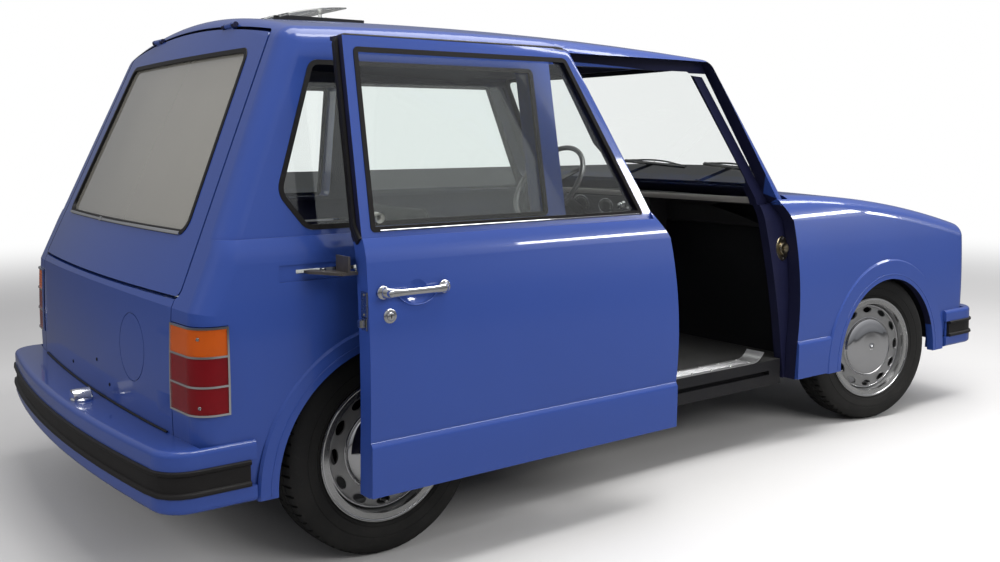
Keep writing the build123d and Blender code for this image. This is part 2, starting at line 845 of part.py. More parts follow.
body_space = lower_form(side=-seat_gap, nose=-seat_gap, tail=-seat_gap, hatch=-seat_gap, base=0)
bumpers = []
strips = []
for end_x, corner_x, centre_x in (
    (rear_bumper_end_x, rear_bumper_corner_x, rear_bumper_x),
    (front_bumper_end_x, front_bumper_corner_x, front_bumper_x),
):
    plan = bumper_outline(end_x, corner_x, centre_x)
    bar = raised(plan, bumper_low_z, bumper_high_z)
    long_edges = [e for e in bar.edges() if e.center().Z in (bumper_low_z, bumper_high_z)]
    bar = fillet([e for e in long_edges if abs(e.center().X - end_x) > 1], bumper_round)
    inside = offset(plan, amount=-bumper_wall)
    hollow = raised(inside, bumper_low_z + bumper_wall, bumper_high_z - bumper_wall)
    bar = bar - hollow - body_space
    bar -= raised(plan, strip_low_z, strip_high_z) - raised(offset(plan, amount=-strip_depth), 0, 1000)
    inward = 1 if end_x > corner_x else -1
    bumpers.extend(bar.solids())
    strip = raised(offset(plan, amount=strip_proud), strip_low_z + seat_gap, strip_high_z - seat_gap)
    strip -= raised(offset(plan, amount=-strip_depth + seat_gap), 0, 1000)
    near, far = sorted((end_x - inward * 12, end_x - inward * 900))
    strip &= block(near, far, -900, 900, 0, 1000)
    strips.extend(strip.solids())
parts["bumpers"] = Compound(bumpers)
parts["bumper_strips"] = Compound(strips)

# Headlamps and front signals, each seated in its hole in the front panel
lamp_front = lower_form(nose=-3, base=0) - lower_form(nose=45, base=0)
headlamps = []
signals = []
for side in (-1, 1):
    middle = side * headlamp_y
    for store, width, z0, z1 in (
        (headlamps, headlamp_width, grille_low_z, grille_high_z),
        (signals, signal_width, signal_low_z, signal_high_z),
    ):
        y0 = middle - width / 2 + seat_gap
        y1 = middle + width / 2 - seat_gap
        lamp = block(2500, 3000, y0, y1, z0 + seat_gap, z1 - seat_gap) & lamp_front
        store.extend(lamp.solids())
parts["headlamps"] = Compound(headlamps)
parts["front_signals"] = Compound(signals)

# Floor, sills, bulkhead and front bay, fitted inside the body walls
cabin_fit = lower_form(side=side_wall + seat_gap, top=bonnet_wall + 1, tail=tail_wall + seat_gap, base=0)
bay_fit = lower_form(side=wing_wall + seat_gap, top=bonnet_wall + 1, nose=nose_wall + seat_gap, base=0)
floor = block(load_floor_front_x, bulkhead_x, -900, 900, floor_z - sheet, floor_z)
floor += block(load_floor_front_x, load_floor_front_x + sheet, -900, 900, floor_z - sheet, load_floor_z)
load = block(-600, load_floor_front_x + sheet, -900, 900, load_floor_z - sheet, load_floor_z)
for side in (-1, 1):
    y0, y1 = apart(side, well_wall_y, 900)
    load -= drum(wheel_house_radius, 0, tyre_radius, y0, y1)
floor += load
for side in (-1, 1):
    y0, y1 = apart(side, well_wall_y, 800)
    well = ring(wheel_house_radius + sheet, wheel_house_radius, 0, tyre_radius, y0, y1)
    floor += well & block(-500, 500, -900, 900, body_base_z + 20, 900)
    y0, y1 = apart(side, well_wall_y, well_wall_y + sheet)
    inner_wall = drum(wheel_house_radius + sheet, 0, tyre_radius, y0, y1)
    floor += inner_wall & block(-500, 500, -900, 900, well_wall_low_z, 900)
floor &= cabin_fit
spring_outer_y = spring_y + spring_width
shackles = (
    (spring_y - shackle_thick, spring_y - seat_gap),
    (spring_outer_y + seat_gap, spring_outer_y + shackle_thick),
)
for side in (-1, 1):
    y0, y1 = apart(side, sill_inner_y, sill_y)
    floor += block(sill_rear_x, sill_front_x, y0, y1, sill_base_z, floor_z + 7)
    y0, y1 = apart(side, rail_y, rail_y + rail_width)
    floor += block(load_floor_front_x, bulkhead_x, y0, y1, floor_z - sheet - rail_depth, floor_z - 1)
    for x in (-spring_reach, spring_reach):
        for near, far in shackles:
            y0, y1 = apart(side, near, far)
            floor += block(x - 22, x + 22, y0, y1, spring_eye_z - 16, load_floor_z - sheet + 1)
    y0, y1 = apart(side, sill_y - track_groove, 900)
    floor -= block(sill_rear_x + 15, sill_front_x - 60, y0, y1, low_track_z - 8, low_track_z + 8)
tow_plate = block(
    tow_rear_x - tow_plate_half, -spring_reach - 20,
    -spring_y + seat_gap, -spring_y + tow_plate_thick,
    tow_rear_z - tow_plate_half, spring_eye_z + 30,
)
floor += tow_plate - drum(tow_hole_radius, tow_rear_x, tow_rear_z, -500, -440)
for y in (-jack_y, jack_y):
    floor -= Pos(jack_x, y, sill_base_z) * extrude(Circle(jack_radius), amount=jack_depth)
parts["floor_pan"] = floor

bay_base_z = floor_z - sheet - rail_depth
bay = block(bulkhead_x, bulkhead_x + sheet, -900, 900, bay_base_z, 1000)
for side in (-1, 1):
    y0, y1 = apart(side, bay_wall_y - sheet, bay_wall_y)
    bay += block(bulkhead_x, bay_front_x, y0, y1, bay_base_z, bay_top_z)
    y0, y1 = apart(side, bay_wall_y, 900)
    house = ring(wheel_house_radius + sheet, wheel_house_radius, wheelbase, tyre_radius, y0, y1)
    bay += house & block(1800, 2700, -900, 900, tyre_radius, 900)
bay += block(bay_front_x - sheet, bay_front_x, -900, 900, floor_z, floor_z + 80)
bay += block(bay_front_x - sheet, bay_front_x, -900, 900, bay_top_z - 30, bay_top_z)
for side in (-1, 1):
    y0, y1 = apart(side, bonnet_half_width - 40, bonnet_half_width)
    bay += block(bay_front_x - sheet, bay_front_x, y0, y1, floor_z, bay_top_z)
bay &= bay_fit
parts["front_bay"] = bay


# Wheels: tyre, and steel wheel with oval holes, drawn about Z with the outer side up
def turned(points):
    """A ring or disc turned about Z from its half section of radius and height."""
    return revolve(Plane.XZ * make_face(Polyline(*points, close=True)), axis=Axis.Z)


half_tyre = tyre_width / 2
half_rim = rim_width / 2
bead = half_rim - seat_gap
bore = rim_radius + seat_gap
lip = rim_lip_radius + seat_gap
tread = half_tyre - 22
tyre_section = Plane.XZ * make_face([
    Line((bore, -bead), (lip, -bead)),
    Line((lip, -bead), (lip + 4, -half_tyre + 7)),
    ThreePointArc((lip + 4, -half_tyre + 7), (240, -half_tyre), (tyre_radius - 12, -half_tyre + 12)),
    Line((tyre_radius - 12, -half_tyre + 12), (tyre_radius - 1.5, -tread)),
    ThreePointArc((tyre_radius - 1.5, -tread), (tyre_radius, 0), (tyre_radius - 1.5, tread)),
    Line((tyre_radius - 1.5, tread), (tyre_radius - 12, half_tyre - 12)),
    ThreePointArc((tyre_radius - 12, half_tyre - 12), (240, half_tyre), (lip + 4, half_tyre - 7)),
    Line((lip + 4, half_tyre - 7), (lip, bead)),
    Line((lip, bead), (bore, bead)),
    Line((bore, bead), (bore, -bead)),
])
tyre = revolve(tyre_section, axis=Axis.Z)
barrel = turned([
    (rim_radius, -half_rim), (rim_lip_radius, -half_rim), (rim_lip_radius, -half_rim - 5),
    (rim_radius - 6, -half_rim - 5), (rim_radius - 12, -half_rim + 30), (rim_radius - 12, half_rim - 30),
    (rim_radius - 6, half_rim + 5), (rim_lip_radius, half_rim + 5), (rim_lip_radius, half_rim),
    (rim_radius, half_rim),
])
disc = turned([
    (spindle_radius + running_gap, 8), (cap_radius - 18, 26), (cap_radius - 8, cap_seat),
    (cap_radius + 6, cap_seat), (142, 42), (150, 34),
    (rim_radius - 11, 10), (rim_radius - 11, 4), (146, 27), (138, 34), (cap_radius + 6, 36),
    (cap_radius - 16, 18), (46, 2), (46, -28), (spindle_radius + running_gap, -28),
])
hole = Pos(hole_circle_radius, 0, 0) * extrude(Ellipse(hole_depth / 2, hole_length / 2), amount=80)
for index in range(wheel_holes):
    disc -= Rot(0, 0, index * 360 / wheel_holes) * hole
brake = turned([(60, -26), (brake_radius, -26), (brake_radius, 16), (60, 16)])
wheel = barrel + disc + brake
cap = turned([
    (cap_radius - 5, cap_seat - 1), (cap_radius, cap_seat - 1), (cap_radius, 52), (cap_radius - 8, 58),
    (61, 66), (30, 69), (9, 70), (8, 72), (0, 72.5),
    (0, 66.5), (30, 65), (60, 62), (cap_radius - 10, 54), (cap_radius - 5, 51),
])
wheel += cap
corners = (
    ("front_right", wheelbase, -1), ("front_left", wheelbase, 1), ("rear_right", 0, -1), ("rear_left", 0, 1),
)


def steer(piece, side):
    """Turn a front piece about its steering pivot to where the wheels rest."""
    return piece.rotate(Axis((wheelbase, side * pivot_y, 0), (0, 0, 1)), steer_rest_deg)


for corner, x, side in corners:
    place = Pos(x, side * wheel_plane_y, tyre_radius) * Rot(-90 * side, 0, 0)
    for name, piece in (("tyre", tyre), ("wheel", wheel)):
        placed = place * piece
        if x == wheelbase:
            placed = steer(placed, side)
        parts[f"{name}_{corner}"] = placed

# Knuckles: strut, hub carrier with spindle, and steering arm, each one piece
spindle_end_y = wheel_plane_y + 24
hub_end_y = wheel_plane_y - 30
brake_plate_y = wheel_plane_y - 34
for label, side in (("right", -1), ("left", 1)):
    pivot = Pos(wheelbase, side * pivot_y, knuckle_low_z)
    knuckle = pivot * extrude(Circle(strut_radius), amount=strut_top_z - knuckle_low_z)
    knuckle += pivot * extrude(Circle(strut_radius + 9), amount=carrier_height)
    y0, y1 = apart(side, pivot_y, spindle_end_y)
    knuckle += drum(spindle_radius, wheelbase, tyre_radius, y0, y1)
    y0, y1 = apart(side, pivot_y, hub_end_y)
    knuckle += drum(hub_radius, wheelbase, tyre_radius, y0, y1)
    y0, y1 = apart(side, brake_plate_y - brake_plate_thick, brake_plate_y)
    knuckle += drum(brake_radius + 6, wheelbase, tyre_radius, y0, y1)
    y0, y1 = apart(side, pivot_y - 24, pivot_y)
    knuckle += block(wheelbase - track_arm_reach, wheelbase, y0, y1, track_arm_low_z, track_arm_low_z + 14)
    parts[f"knuckle_{label}"] = steer(knuckle, side)

# Front subframe with lower arms and the steering rack
beam_rear_x = wheelbase - 60
beam_front_x = wheelbase + 60
beam_end_y = bay_wall_y - sheet - 60
arm_low_z = knuckle_low_z - lower_arm_thick
rack_x = wheelbase - track_arm_reach
rack_z = track_arm_low_z + 7
subframe = block(beam_rear_x, beam_front_x, -beam_end_y, beam_end_y, cross_beam_low_z, cross_beam_high_z)
for side in (-1, 1):
    y0, y1 = apart(side, lower_arm_inner_y, pivot_y + 22)
    subframe += block(wheelbase - 26, wheelbase + 26, y0, y1, arm_low_z, knuckle_low_z - seat_gap)
    y0, y1 = apart(side, lower_arm_inner_y, lower_arm_inner_y + 20)
    subframe += block(beam_rear_x, beam_front_x, y0, y1, arm_low_z, cross_beam_high_z)
    y0, y1 = apart(side, bay_wall_y - 38, bay_wall_y)
    subframe += block(wheelbase - 240, wheelbase + 240, y0, y1, 225, bay_base_z)
    y0, y1 = apart(side, lower_arm_inner_y - 30, bay_wall_y - 18)
    subframe += block(beam_rear_x, beam_front_x, y0, y1, 225, cross_beam_high_z)
    y0, y1 = apart(side, bay_wall_y - 33, bay_wall_y - 6)
    subframe += block(rack_x - 14, rack_x + 14, y0, y1, track_arm_low_z, 230)
subframe += drum(rack_radius, rack_x, rack_z, -bay_wall_y, bay_wall_y)
subframe += block(
    wheelbase + 230, tow_front_x + tow_plate_half,
    -bay_wall_y + 14, -bay_wall_y + 14 + tow_plate_thick,
    tow_front_z - tow_plate_half, bay_base_z,
)
subframe -= drum(tow_hole_radius, tow_front_x, tow_front_z, -420, -380)
parts["front_subframe"] = subframe

# Rear axle: tube, spindles and brake plates on two leaf springs
axle = drum(axle_radius, 0, tyre_radius, -hub_end_y, hub_end_y)
axle += drum(spindle_radius, 0, tyre_radius, -spindle_end_y, spindle_end_y)
eye_top_z = spring_eye_z + spring_thick
saddle_z = tyre_radius - axle_radius
leaf = make_face([
    ThreePointArc((-spring_reach, spring_eye_z), (0, saddle_z - spring_thick), (spring_reach, spring_eye_z)),
    Line((spring_reach, spring_eye_z), (spring_reach, eye_top_z)),
    ThreePointArc((spring_reach, eye_top_z), (0, saddle_z + 2), (-spring_reach, eye_top_z)),
    Line((-spring_reach, eye_top_z), (-spring_reach, spring_eye_z)),
])
for side in (-1, 1):
    y0, y1 = apart(side, brake_plate_y - brake_plate_thick, brake_plate_y)
    axle += drum(brake_radius + 6, 0, tyre_radius, y0, y1)
    y0, y1 = apart(side, spring_y, spring_outer_y)
    axle += Pos(0, y1, 0) * extrude(Plane.XZ * leaf, amount=spring_width)
    for x in (-spring_reach, spring_reach):
        axle += drum(16, x, spring_eye_z + spring_thick / 2, y0, y1)
parts["rear_axle"] = axle

# Heavy masses at their real size and place
parts["battery_pack"] = block(
    battery_rear_x, battery_front_x, -battery_half_y, battery_half_y, battery_low_z, load_floor_z - sheet
)
motor = drum(motor_radius, wheelbase, motor_z, -motor_half_length, motor_half_length)
motor += block(wheelbase - motor_radius - 20, wheelbase + motor_radius + 20, -70, 70, motor_cradle_z, motor_z)
parts["drive_motor"] = motor

# Dashboard: a shelf across the cabin with the instrument side on the left
dash_profile = outline(Plane.XZ, [
    (bulkhead_x - seat_gap, 770), (bulkhead_x - seat_gap, dash_top_z), (1640, dash_top_z),
    (dash_front_x + 10, 903), (dash_front_x, 885), (dash_front_x + 10, dash_shelf_z),
    (1668, dash_shelf_z), (1690, 850), (1700, 780),
])
dash = Pos(0, dash_half_width, 0) * extrude(dash_profile, amount=2 * dash_half_width)
dash &= bonnet_limit(bonnet_wall + 3)
dash -= leaning_cut(screen_foot_x, screen_foot_z, screen_lean, screen_bow, screen_wall + 4, 1)
cluster = outline(Plane.XZ, [(1604, 880), (1612, 760), (1640, 690), (1690, 690), (1702, 880)])
dash += Pos(0, dash_half_width - 5, 0) * extrude(cluster, amount=cluster_width)
rake = math.radians(column_rake)
column_up = Vector(-math.cos(rake), 0, math.sin(rake))
wheel_centre = Vector(wheel_x, wheel_y, wheel_z)
column_plane = Plane(origin=wheel_centre, x_dir=(0, 1, 0), z_dir=column_up)
dash -= column_plane * (Pos(0, 0, -340) * extrude(Circle(column_radius + seat_gap), amount=300))
parts["dashboard"] = dash

# Steering column and wheel, square to each other
steering = Torus(steering_radius, steering_rim)
steering += Pos(0, 0, -34) * extrude(Circle(steering_boss), amount=30)
for angle in (0, 120, 240):
    spoke = Polyline((0, -13), (steering_radius, -8), (steering_radius, 8), (0, 13), close=True)
    steering += Rot(0, 0, angle + 90) * (Pos(0, 0, -10) * extrude(make_face(spoke), amount=6))
steering += Pos(0, 0, -14) * extrude(Circle(steering_boss + 12), amount=20)
parts["steering_wheel"] = column_plane * steering
column = Pos(0, 0, -34 - running_gap - column_length) * extrude(Circle(column_radius), amount=column_length)
parts["steering_column"] = column_plane * column

# Driver's seat on a steel frame
plan = fillet(Rectangle(cushion_length, cushion_width).vertices(), 60)
cushion = extrude(plan, amount=cushion_height)
cushion = fillet(cushion.edges().filter_by(Plane.XY), 28)
parts["seat_cushion"] = Pos(seat_x, wheel_y, seat_base_z) * cushion
back = extrude(fillet(Rectangle(back_thick, back_width).vertices(), 38), amount=back_height)
back = fillet(back.edges().filter_by(Plane.XY), 30)
back_x = seat_x - cushion_length / 2 - back_thick / 2 - 3
back_place = Pos(back_x, wheel_y, seat_base_z + 30) * Rot(0, -seat_lean, 0)
parts["seat_back"] = back_place * back
seat = back_place * block(-back_thick / 2 - 12, -back_thick / 2 - seat_gap, -180, 180, -40, 300)
seat += block(
    seat_x - 330, seat_x + 215, wheel_y - 215, wheel_y + 215, seat_base_z - 20, seat_base_z - seat_gap
)
for dx in (-190, 160):
    for dy in (-200, 170):
        seat += Pos(seat_x + dx, wheel_y + dy, floor_z) * block(0, 30, 0, 30, 0, seat_base_z - 19 - floor_z)
parts["seat_frame"] = seat

# Door handles with their locks
grip_points = [
    (0, 0), (12, -22), (44, -handle_out), (handle_length - 30, -handle_out), (handle_length, -12),
    (handle_length, 0), (handle_length - 20, 0), (handle_length - 34, -20), (40, -20), (28, 0),
]
grip = extrude(outline(Plane.XY, grip_points, (2, 6, 8, 10, 5, 2, 3, 6, 6, 2)), amount=2 * handle_half_height)
grip = Pos(handle_x, -half_width + 6, handle_z - handle_half_height) * grip
lock = Pos(handle_x + 26, -half_width + 3.5, lock_z) * extrude(Plane.XZ * Circle(lock_radius), amount=9)
panel_near = skin & block(handle_x - 50, handle_x + 300, -900, -700, 500, 870)
door_handles = []
for fitting in (grip, lock):
    outer = largest(fitting - panel_near)
    door_handles.append(open_shift * outer)
    door_handles.append(left_of(outer))
parts["door_handles"] = Compound(door_handles)

# Arms that carry the doors: a triangular plate in the rear track and a roller arm in the sill
inner_y = half_width - door_thickness
door_back_y = -inner_y - door_slide_out
rear_arm = outline(Plane.XY, [
    (arm_x - arm_half, -half_width + 6), (arm_x + arm_half, -half_width + 6), (arm_x + 96, door_back_y + 1),
    (arm_x + 34, door_back_y + 1), (arm_x - arm_half, -half_width - 20),
])
rear_arm = Pos(0, 0, track_slot_z - 3.5) * extrude(rear_arm, amount=7)
rear_arm += block(
    arm_flange_x, arm_flange_x + 6, door_back_y, -half_width - 45, track_slot_z - 3, track_slot_z + 42
)
low_arm_end_x = low_arm_x + low_arm_width
groove_y = -sill_y + track_groove - seat_gap
low_arm = block(low_arm_x, low_arm_end_x, door_back_y, groove_y, low_track_z - 3, low_track_z + 3)
low_arm += block(low_arm_x, low_arm_end_x, door_back_y, door_back_y + 6, low_track_z - 3, low_track_z + 50)
open_door = open_shift * door
parts["door_track_arms"] = Compound([largest(arm - open_door) for arm in (rear_arm, low_arm)])

# Strikers on the front posts, and aluminium tread plates on the sills
strikers = []
treads = []
for side in (-1, 1):
    y0, y1 = apart(side, inner_y - 15, inner_y + striker_depth)
    striker = Pos(striker_x, 0, striker_z) * block(
        -striker_half_width, striker_half_width, y0, y1, -striker_half_height, striker_half_height
    )
    strikers.append(largest(striker - behind_doors))
    y0, y1 = apart(side, sill_inner_y + 1, sill_y - 1)
    tread = make_face([
        Line((sill_rear_x + 40, floor_z + 7), (tread_front_x - 60, floor_z + 7)),
        RadiusArc((tread_front_x - 60, floor_z + 7), (tread_front_x, floor_z + 40), -71),
        Line((tread_front_x, floor_z + 40), (tread_front_x - 2.5, floor_z + 42)),
        RadiusArc((tread_front_x - 2.5, floor_z + 42), (tread_front_x - 60, floor_z + 10), 68),
        Line((tread_front_x - 60, floor_z + 10), (sill_rear_x + 40, floor_z + 10)),
        Line((sill_rear_x + 40, floor_z + 10), (sill_rear_x + 40, floor_z + 7)),
    ])
    treads.append(Pos(0, y1, 0) * extrude(Plane.XZ * tread, amount=y1 - y0))
parts["door_strikers"] = Compound(strikers)
parts["sill_plates"] = Compound([solid for tread in treads for solid in tread.solids()])


# Wipers on the cowl, each a post, an arm and a blade along the glass
def bar_between(start, end, wide, thick, up):
    """A flat bar from one point to another, with its wide side square to the given direction."""
    along_bar = end - start
    plane = Plane(origin=start, x_dir=along_bar.cross(up), z_dir=along_bar)
    return extrude(plane * Rectangle(wide, thick), amount=along_bar.length)


screen_turn = math.radians(screen_lean)
screen_out = Vector(math.cos(screen_turn), 0, math.sin(screen_turn))
screen_up = Vector(-math.sin(screen_turn), 0, math.cos(screen_turn))


def on_screen(y, up, proud):
    """A point a little proud of the windscreen, by its Y and its distance up the glass."""
    sag = screen_bow - math.sqrt(screen_bow**2 - y**2)
    return Vector(screen_foot_x, y, screen_foot_z) + screen_up * up + screen_out * (proud - sag)


wipers = []
for pivot, near, near_up, far, far_up in (
    (269, 110, 112, -230, 92),
    (-221, -345, 114, -650, 108),
):
    crown_z = bonnet_peak_z - 5 - pivot * pivot / (2 * bonnet_crown)
    wiper = Pos(wiper_x, pivot, crown_z - 6) * extrude(Circle(11), amount=34)
    tip = (on_screen(near, near_up, 15) + on_screen(far, far_up, 15)) * 0.5
    wiper += bar_between(Vector(wiper_x, pivot, crown_z + 20), tip, 12, 5, screen_out)
    wiper += bar_between(
        on_screen(near, near_up, 9), on_screen(far, far_up, 9), 8, 12, screen_out
    )
    wipers.append(largest(wiper - skin))
parts["wipers"] = Compound(wipers)

# Roof vent: a low frame round its hole, and a clear lid hinged at the rear with its stay
vent = block(vent_rear_x, vent_front_x, -vent_half_width, vent_half_width, 1460, vent_frame_z)
vent -= block(vent_hole_rear_x + 8, vent_hole_front_x - 8, -vent_hole_y + 8, vent_hole_y - 8, 1400, 1600)
vent_pin_x = vent_rear_x + 6
vent_lug_y = vent_cheek_y - 6
vent -= block(vent_rear_x - 5, vent_rear_x + 14, -vent_cheek_y, vent_cheek_y, vent_hinge_z - 12, 1600)
for side in (-1, 1):
    y0, y1 = apart(side, vent_cheek_y, vent_cheek_y + vent_cheek)
    vent += block(vent_rear_x, vent_rear_x + 12, y0, y1, vent_frame_z - 6, vent_hinge_z + 5)
vent += drum(hinge_pin_radius, vent_pin_x, vent_hinge_z, -vent_cheek_y - 6, vent_cheek_y + 6)
vent -= upper_form()
parts["roof_vent_frame"] = vent
lid_arch = ThreePointArc((vent_pin_x, vent_hinge_z + 6), (110, 1521), (vent_lid_x, vent_lid_z))
lid_under = ThreePointArc(
    (vent_lid_x, vent_lid_z - vent_lid_thick), (110, 1521 - vent_lid_thick), (vent_pin_x, vent_hinge_z + 2)
)
lid_face = make_face([
    lid_arch, Line(lid_arch @ 1, lid_under @ 0), lid_under, Line(lid_under @ 1, lid_arch @ 0),
])
lid = Pos(0, vent_half_width - 12, 0) * extrude(Plane.XZ * lid_face, amount=2 * vent_half_width - 24)
for side in (-1, 1):
    y0, y1 = apart(side, vent_lug_y, vent_cheek_y + vent_cheek + 8)
    lid -= block(vent_rear_x - 5, vent_rear_x + 18, y0, y1, 1400, 1600)
lid += drum(7, vent_pin_x, vent_hinge_z, -vent_lug_y, vent_lug_y)
lid -= drum(hinge_pin_radius + running_gap, vent_pin_x, vent_hinge_z, -64, 64)
lid += block(vent_stay_x - 4, vent_stay_x + 4, -6, 6, vent_frame_z, vent_lid_z - vent_lid_thick)
lid += block(vent_stay_x - 12, vent_stay_x + 12, -12, 12, vent_frame_z - 3, vent_frame_z + 5)
parts["roof_vent_lid"] = lid

# The origin lies on the ground below the middle of everything
handle_reach = half_width + 28 + door_slide_out
shift = Pos(
    -(front_bumper_x + rear_bumper_x) / 2,
    (handle_reach - bumper_half_width - strip_proud) / 2,
    0,
)
for name, piece in parts.items():
    placed = shift * piece
    print(name, placed.is_valid, len(placed.solids()))
    export_step(placed, f"parts/{name}.step")
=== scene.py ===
import bmesh
import bpy
import math
import numpy as np
from mathutils import Matrix, Vector


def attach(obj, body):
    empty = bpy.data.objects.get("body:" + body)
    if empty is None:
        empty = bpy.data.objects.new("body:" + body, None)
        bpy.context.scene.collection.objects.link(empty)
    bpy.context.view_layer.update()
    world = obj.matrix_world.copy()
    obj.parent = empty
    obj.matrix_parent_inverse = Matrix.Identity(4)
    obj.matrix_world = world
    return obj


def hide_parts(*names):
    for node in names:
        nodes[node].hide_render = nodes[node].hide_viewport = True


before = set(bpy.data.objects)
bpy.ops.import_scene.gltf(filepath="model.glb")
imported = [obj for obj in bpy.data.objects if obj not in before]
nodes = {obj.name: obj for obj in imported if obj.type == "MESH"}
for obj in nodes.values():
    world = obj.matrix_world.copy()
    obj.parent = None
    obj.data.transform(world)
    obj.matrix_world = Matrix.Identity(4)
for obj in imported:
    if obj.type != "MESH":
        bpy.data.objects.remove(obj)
bpy.context.scene.view_settings.view_transform = "Standard"
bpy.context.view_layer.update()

# Body shell
# The body is pressed steel sheet, spot welded and sprayed in a gloss medium blue enamel outside.
# Inside, and on the door posts that only show when a door is open, the same blue sheet is given a
# dark navy-black colour in place of its blue: painted shade.

ORIGIN_X, ORIGIN_Y = 1129.0, -83.5
DOORS = ((-1, -783, -161), (1, 0, 0))
GLOSS_BLUE = (0.024, 0.056, 0.245)
NAVY_PAINTED_SHADE = (0.009, 0.010, 0.034)
BELT_Z, BELT_HALF = 873, 743


def feed(tree, source, socket):
    """Sets a socket to a constant, or links another node's output to it."""
    if isinstance(source, (int, float, tuple, str)):
        socket.default_value = source
    else:
        tree.links.new(source, socket)


def feed_all(tree, node, values):
    """Feeds several inputs of a node, given by name or number."""
    for socket, value in values.items():
        feed(tree, value, node.inputs[socket])
    return node


def maths(tree, operation, a, b):
    node = feed_all(tree, tree.nodes.new("ShaderNodeMath"), {0: a, 1: b})
    node.operation = operation
    return node.outputs[0]


def ranged(tree, source, low, high, to_low, to_high, curve="LINEAR"):
    """A value taken from one range to another."""
    node = tree.nodes.new("ShaderNodeMapRange")
    node.interpolation_type = curve
    feed_all(tree, node, {"Value": source, "From Min": low, "From Max": high, "To Min": to_low, "To Max": to_high})
    return node.outputs["Result"]


def wear_effect():
    """Shared finish effect: uneven tone, rubbed spots and a little dust low on the van."""
    tree = bpy.data.node_groups.new("surface_wear", "ShaderNodeTree")
    for title, kind, start in (
        ("Colour", "Color", (0.5, 0.5, 0.5, 1)), ("Dust Colour", "Color", (0.32, 0.3, 0.27, 1)),
        ("Roughness", "Float", 0.4), ("Tone", "Float", 0.1), ("Spots", "Float", 0.1),
        ("Dust", "Float", 0.1), ("Scale", "Float", 12.0), ("Grain", "Float", 260.0),
    ):
        tree.interface.new_socket(title, in_out="INPUT", socket_type="NodeSocket" + kind).default_value = start
    for title, kind in (("Colour", "Color"), ("Roughness", "Float"), ("Height", "Float")):
        tree.interface.new_socket(title, in_out="OUTPUT", socket_type="NodeSocket" + kind)
    new = tree.nodes.new
    come, go = new("NodeGroupInput").outputs, new("NodeGroupOutput")
    place = new("ShaderNodeTexCoord").outputs["Object"]

    def noise(scale, detail):
        values = {"Vector": place, "Scale": scale, "Detail": detail}
        return feed_all(tree, new("ShaderNodeTexNoise"), values).outputs["Fac"]

    def mixed(factor, a, b, blend="MIX"):
        node = new("ShaderNodeMix")
        node.data_type, node.blend_type = "RGBA", blend
        return feed_all(tree, node, {0: factor, 6: a, 7: b}).outputs[2]

    broad = noise(come["Scale"], 4)
    fine = noise(maths(tree, "MULTIPLY", come["Scale"], 6), 6)
    split = feed_all(tree, new("ShaderNodeSeparateXYZ"), {0: place})
    tone = maths(tree, "MULTIPLY", ranged(tree, broad, 0.3, 0.7, 0, 1), come["Tone"])
    spots = maths(tree, "MULTIPLY", ranged(tree, fine, 0.6, 0.72, 0, 1), come["Spots"])
    low_down = ranged(tree, split.outputs["Z"], 0.12, 0.5, 1, 0.12)
    dusty = maths(tree, "MULTIPLY", low_down, ranged(tree, broad, 0.35, 0.7, 0.4, 1))
    dust = maths(tree, "MULTIPLY", maths(tree, "MULTIPLY", dusty, 0.22), come["Dust"])
    darker = mixed(tone, come["Colour"], (0.45, 0.45, 0.45, 1), "MULTIPLY")
    rubbed = mixed(maths(tree, "MULTIPLY", spots, 0.08), darker, (0.5, 0.5, 0.5, 1))
    rough = maths(tree, "ADD", come["Roughness"], maths(tree, "MULTIPLY", spots, 0.25))
    feed_all(tree, go, {
        "Colour": mixed(dust, rubbed, come["Dust Colour"]),
        "Roughness": maths(tree, "ADD", rough, maths(tree, "MULTIPLY", dust, 0.4)),
        "Height": noise(come["Grain"], 2),
    })
    return tree


wear_group = wear_effect()


def finish(name, colour, rough=0.4, metal=0.0, coat=0.0, tone=0.15, spots=0.1, dust=0.1, scale=12.0, grain=260.0,
           bump=0.02, transmission=0.0, ior=1.5, emission=None, coat_rough=0.05, specular=0.5):
    """A material whose colour, gloss and fine relief come from the shared finish effect."""
    material = bpy.data.materials.new(name)
    material.use_nodes = True
    tree = material.node_tree
    wear = tree.nodes.new("ShaderNodeGroup")
    wear.node_tree = wear_group
    feed_all(tree, wear, {"Colour": (*colour, 1), "Roughness": rough, "Tone": tone, "Spots": spots, "Dust": dust,
                          "Scale": scale, "Grain": grain})
    relief = feed_all(tree, tree.nodes.new("ShaderNodeBump"),
                      {"Strength": bump, "Distance": 0.001, "Height": wear.outputs["Height"]})
    shader = feed_all(tree, tree.nodes["Principled BSDF"], {
        "Base Color": wear.outputs["Colour"], "Roughness": wear.outputs["Roughness"],
        "Normal": relief.outputs["Normal"], "Metallic": metal, "Coat Weight": coat, "Coat Roughness": coat_rough,
        "Transmission Weight": transmission, "IOR": ior, "Specular IOR Level": specular,
    })
    if emission:
        feed_all(tree, shader, {"Emission Color": (*emission[:3], 1), "Emission Strength": emission[3]})
    return material


paint = finish("gloss_blue_enamel", GLOSS_BLUE, rough=0.32, coat=0.75, tone=0.08, spots=0.02, dust=0.04,
               scale=2.2, grain=420, bump=0.015, coat_rough=0.035, specular=0.2)
# Dark navy for every face that is not outer skin: painted shade, not a coat of its own.
painted_shade_navy = finish("navy_painted_shade", NAVY_PAINTED_SHADE, rough=0.45, coat=0.1, specular=0.3, tone=0.3, spots=0.05, dust=0.05,
               scale=5)


def coat_node(name, *materials):
    """Gives a whole CAD node one finish, or readies it for several."""
    mesh = nodes[name].data
    mesh.materials.clear()
    for material in materials:
        mesh.materials.append(material)
    return mesh


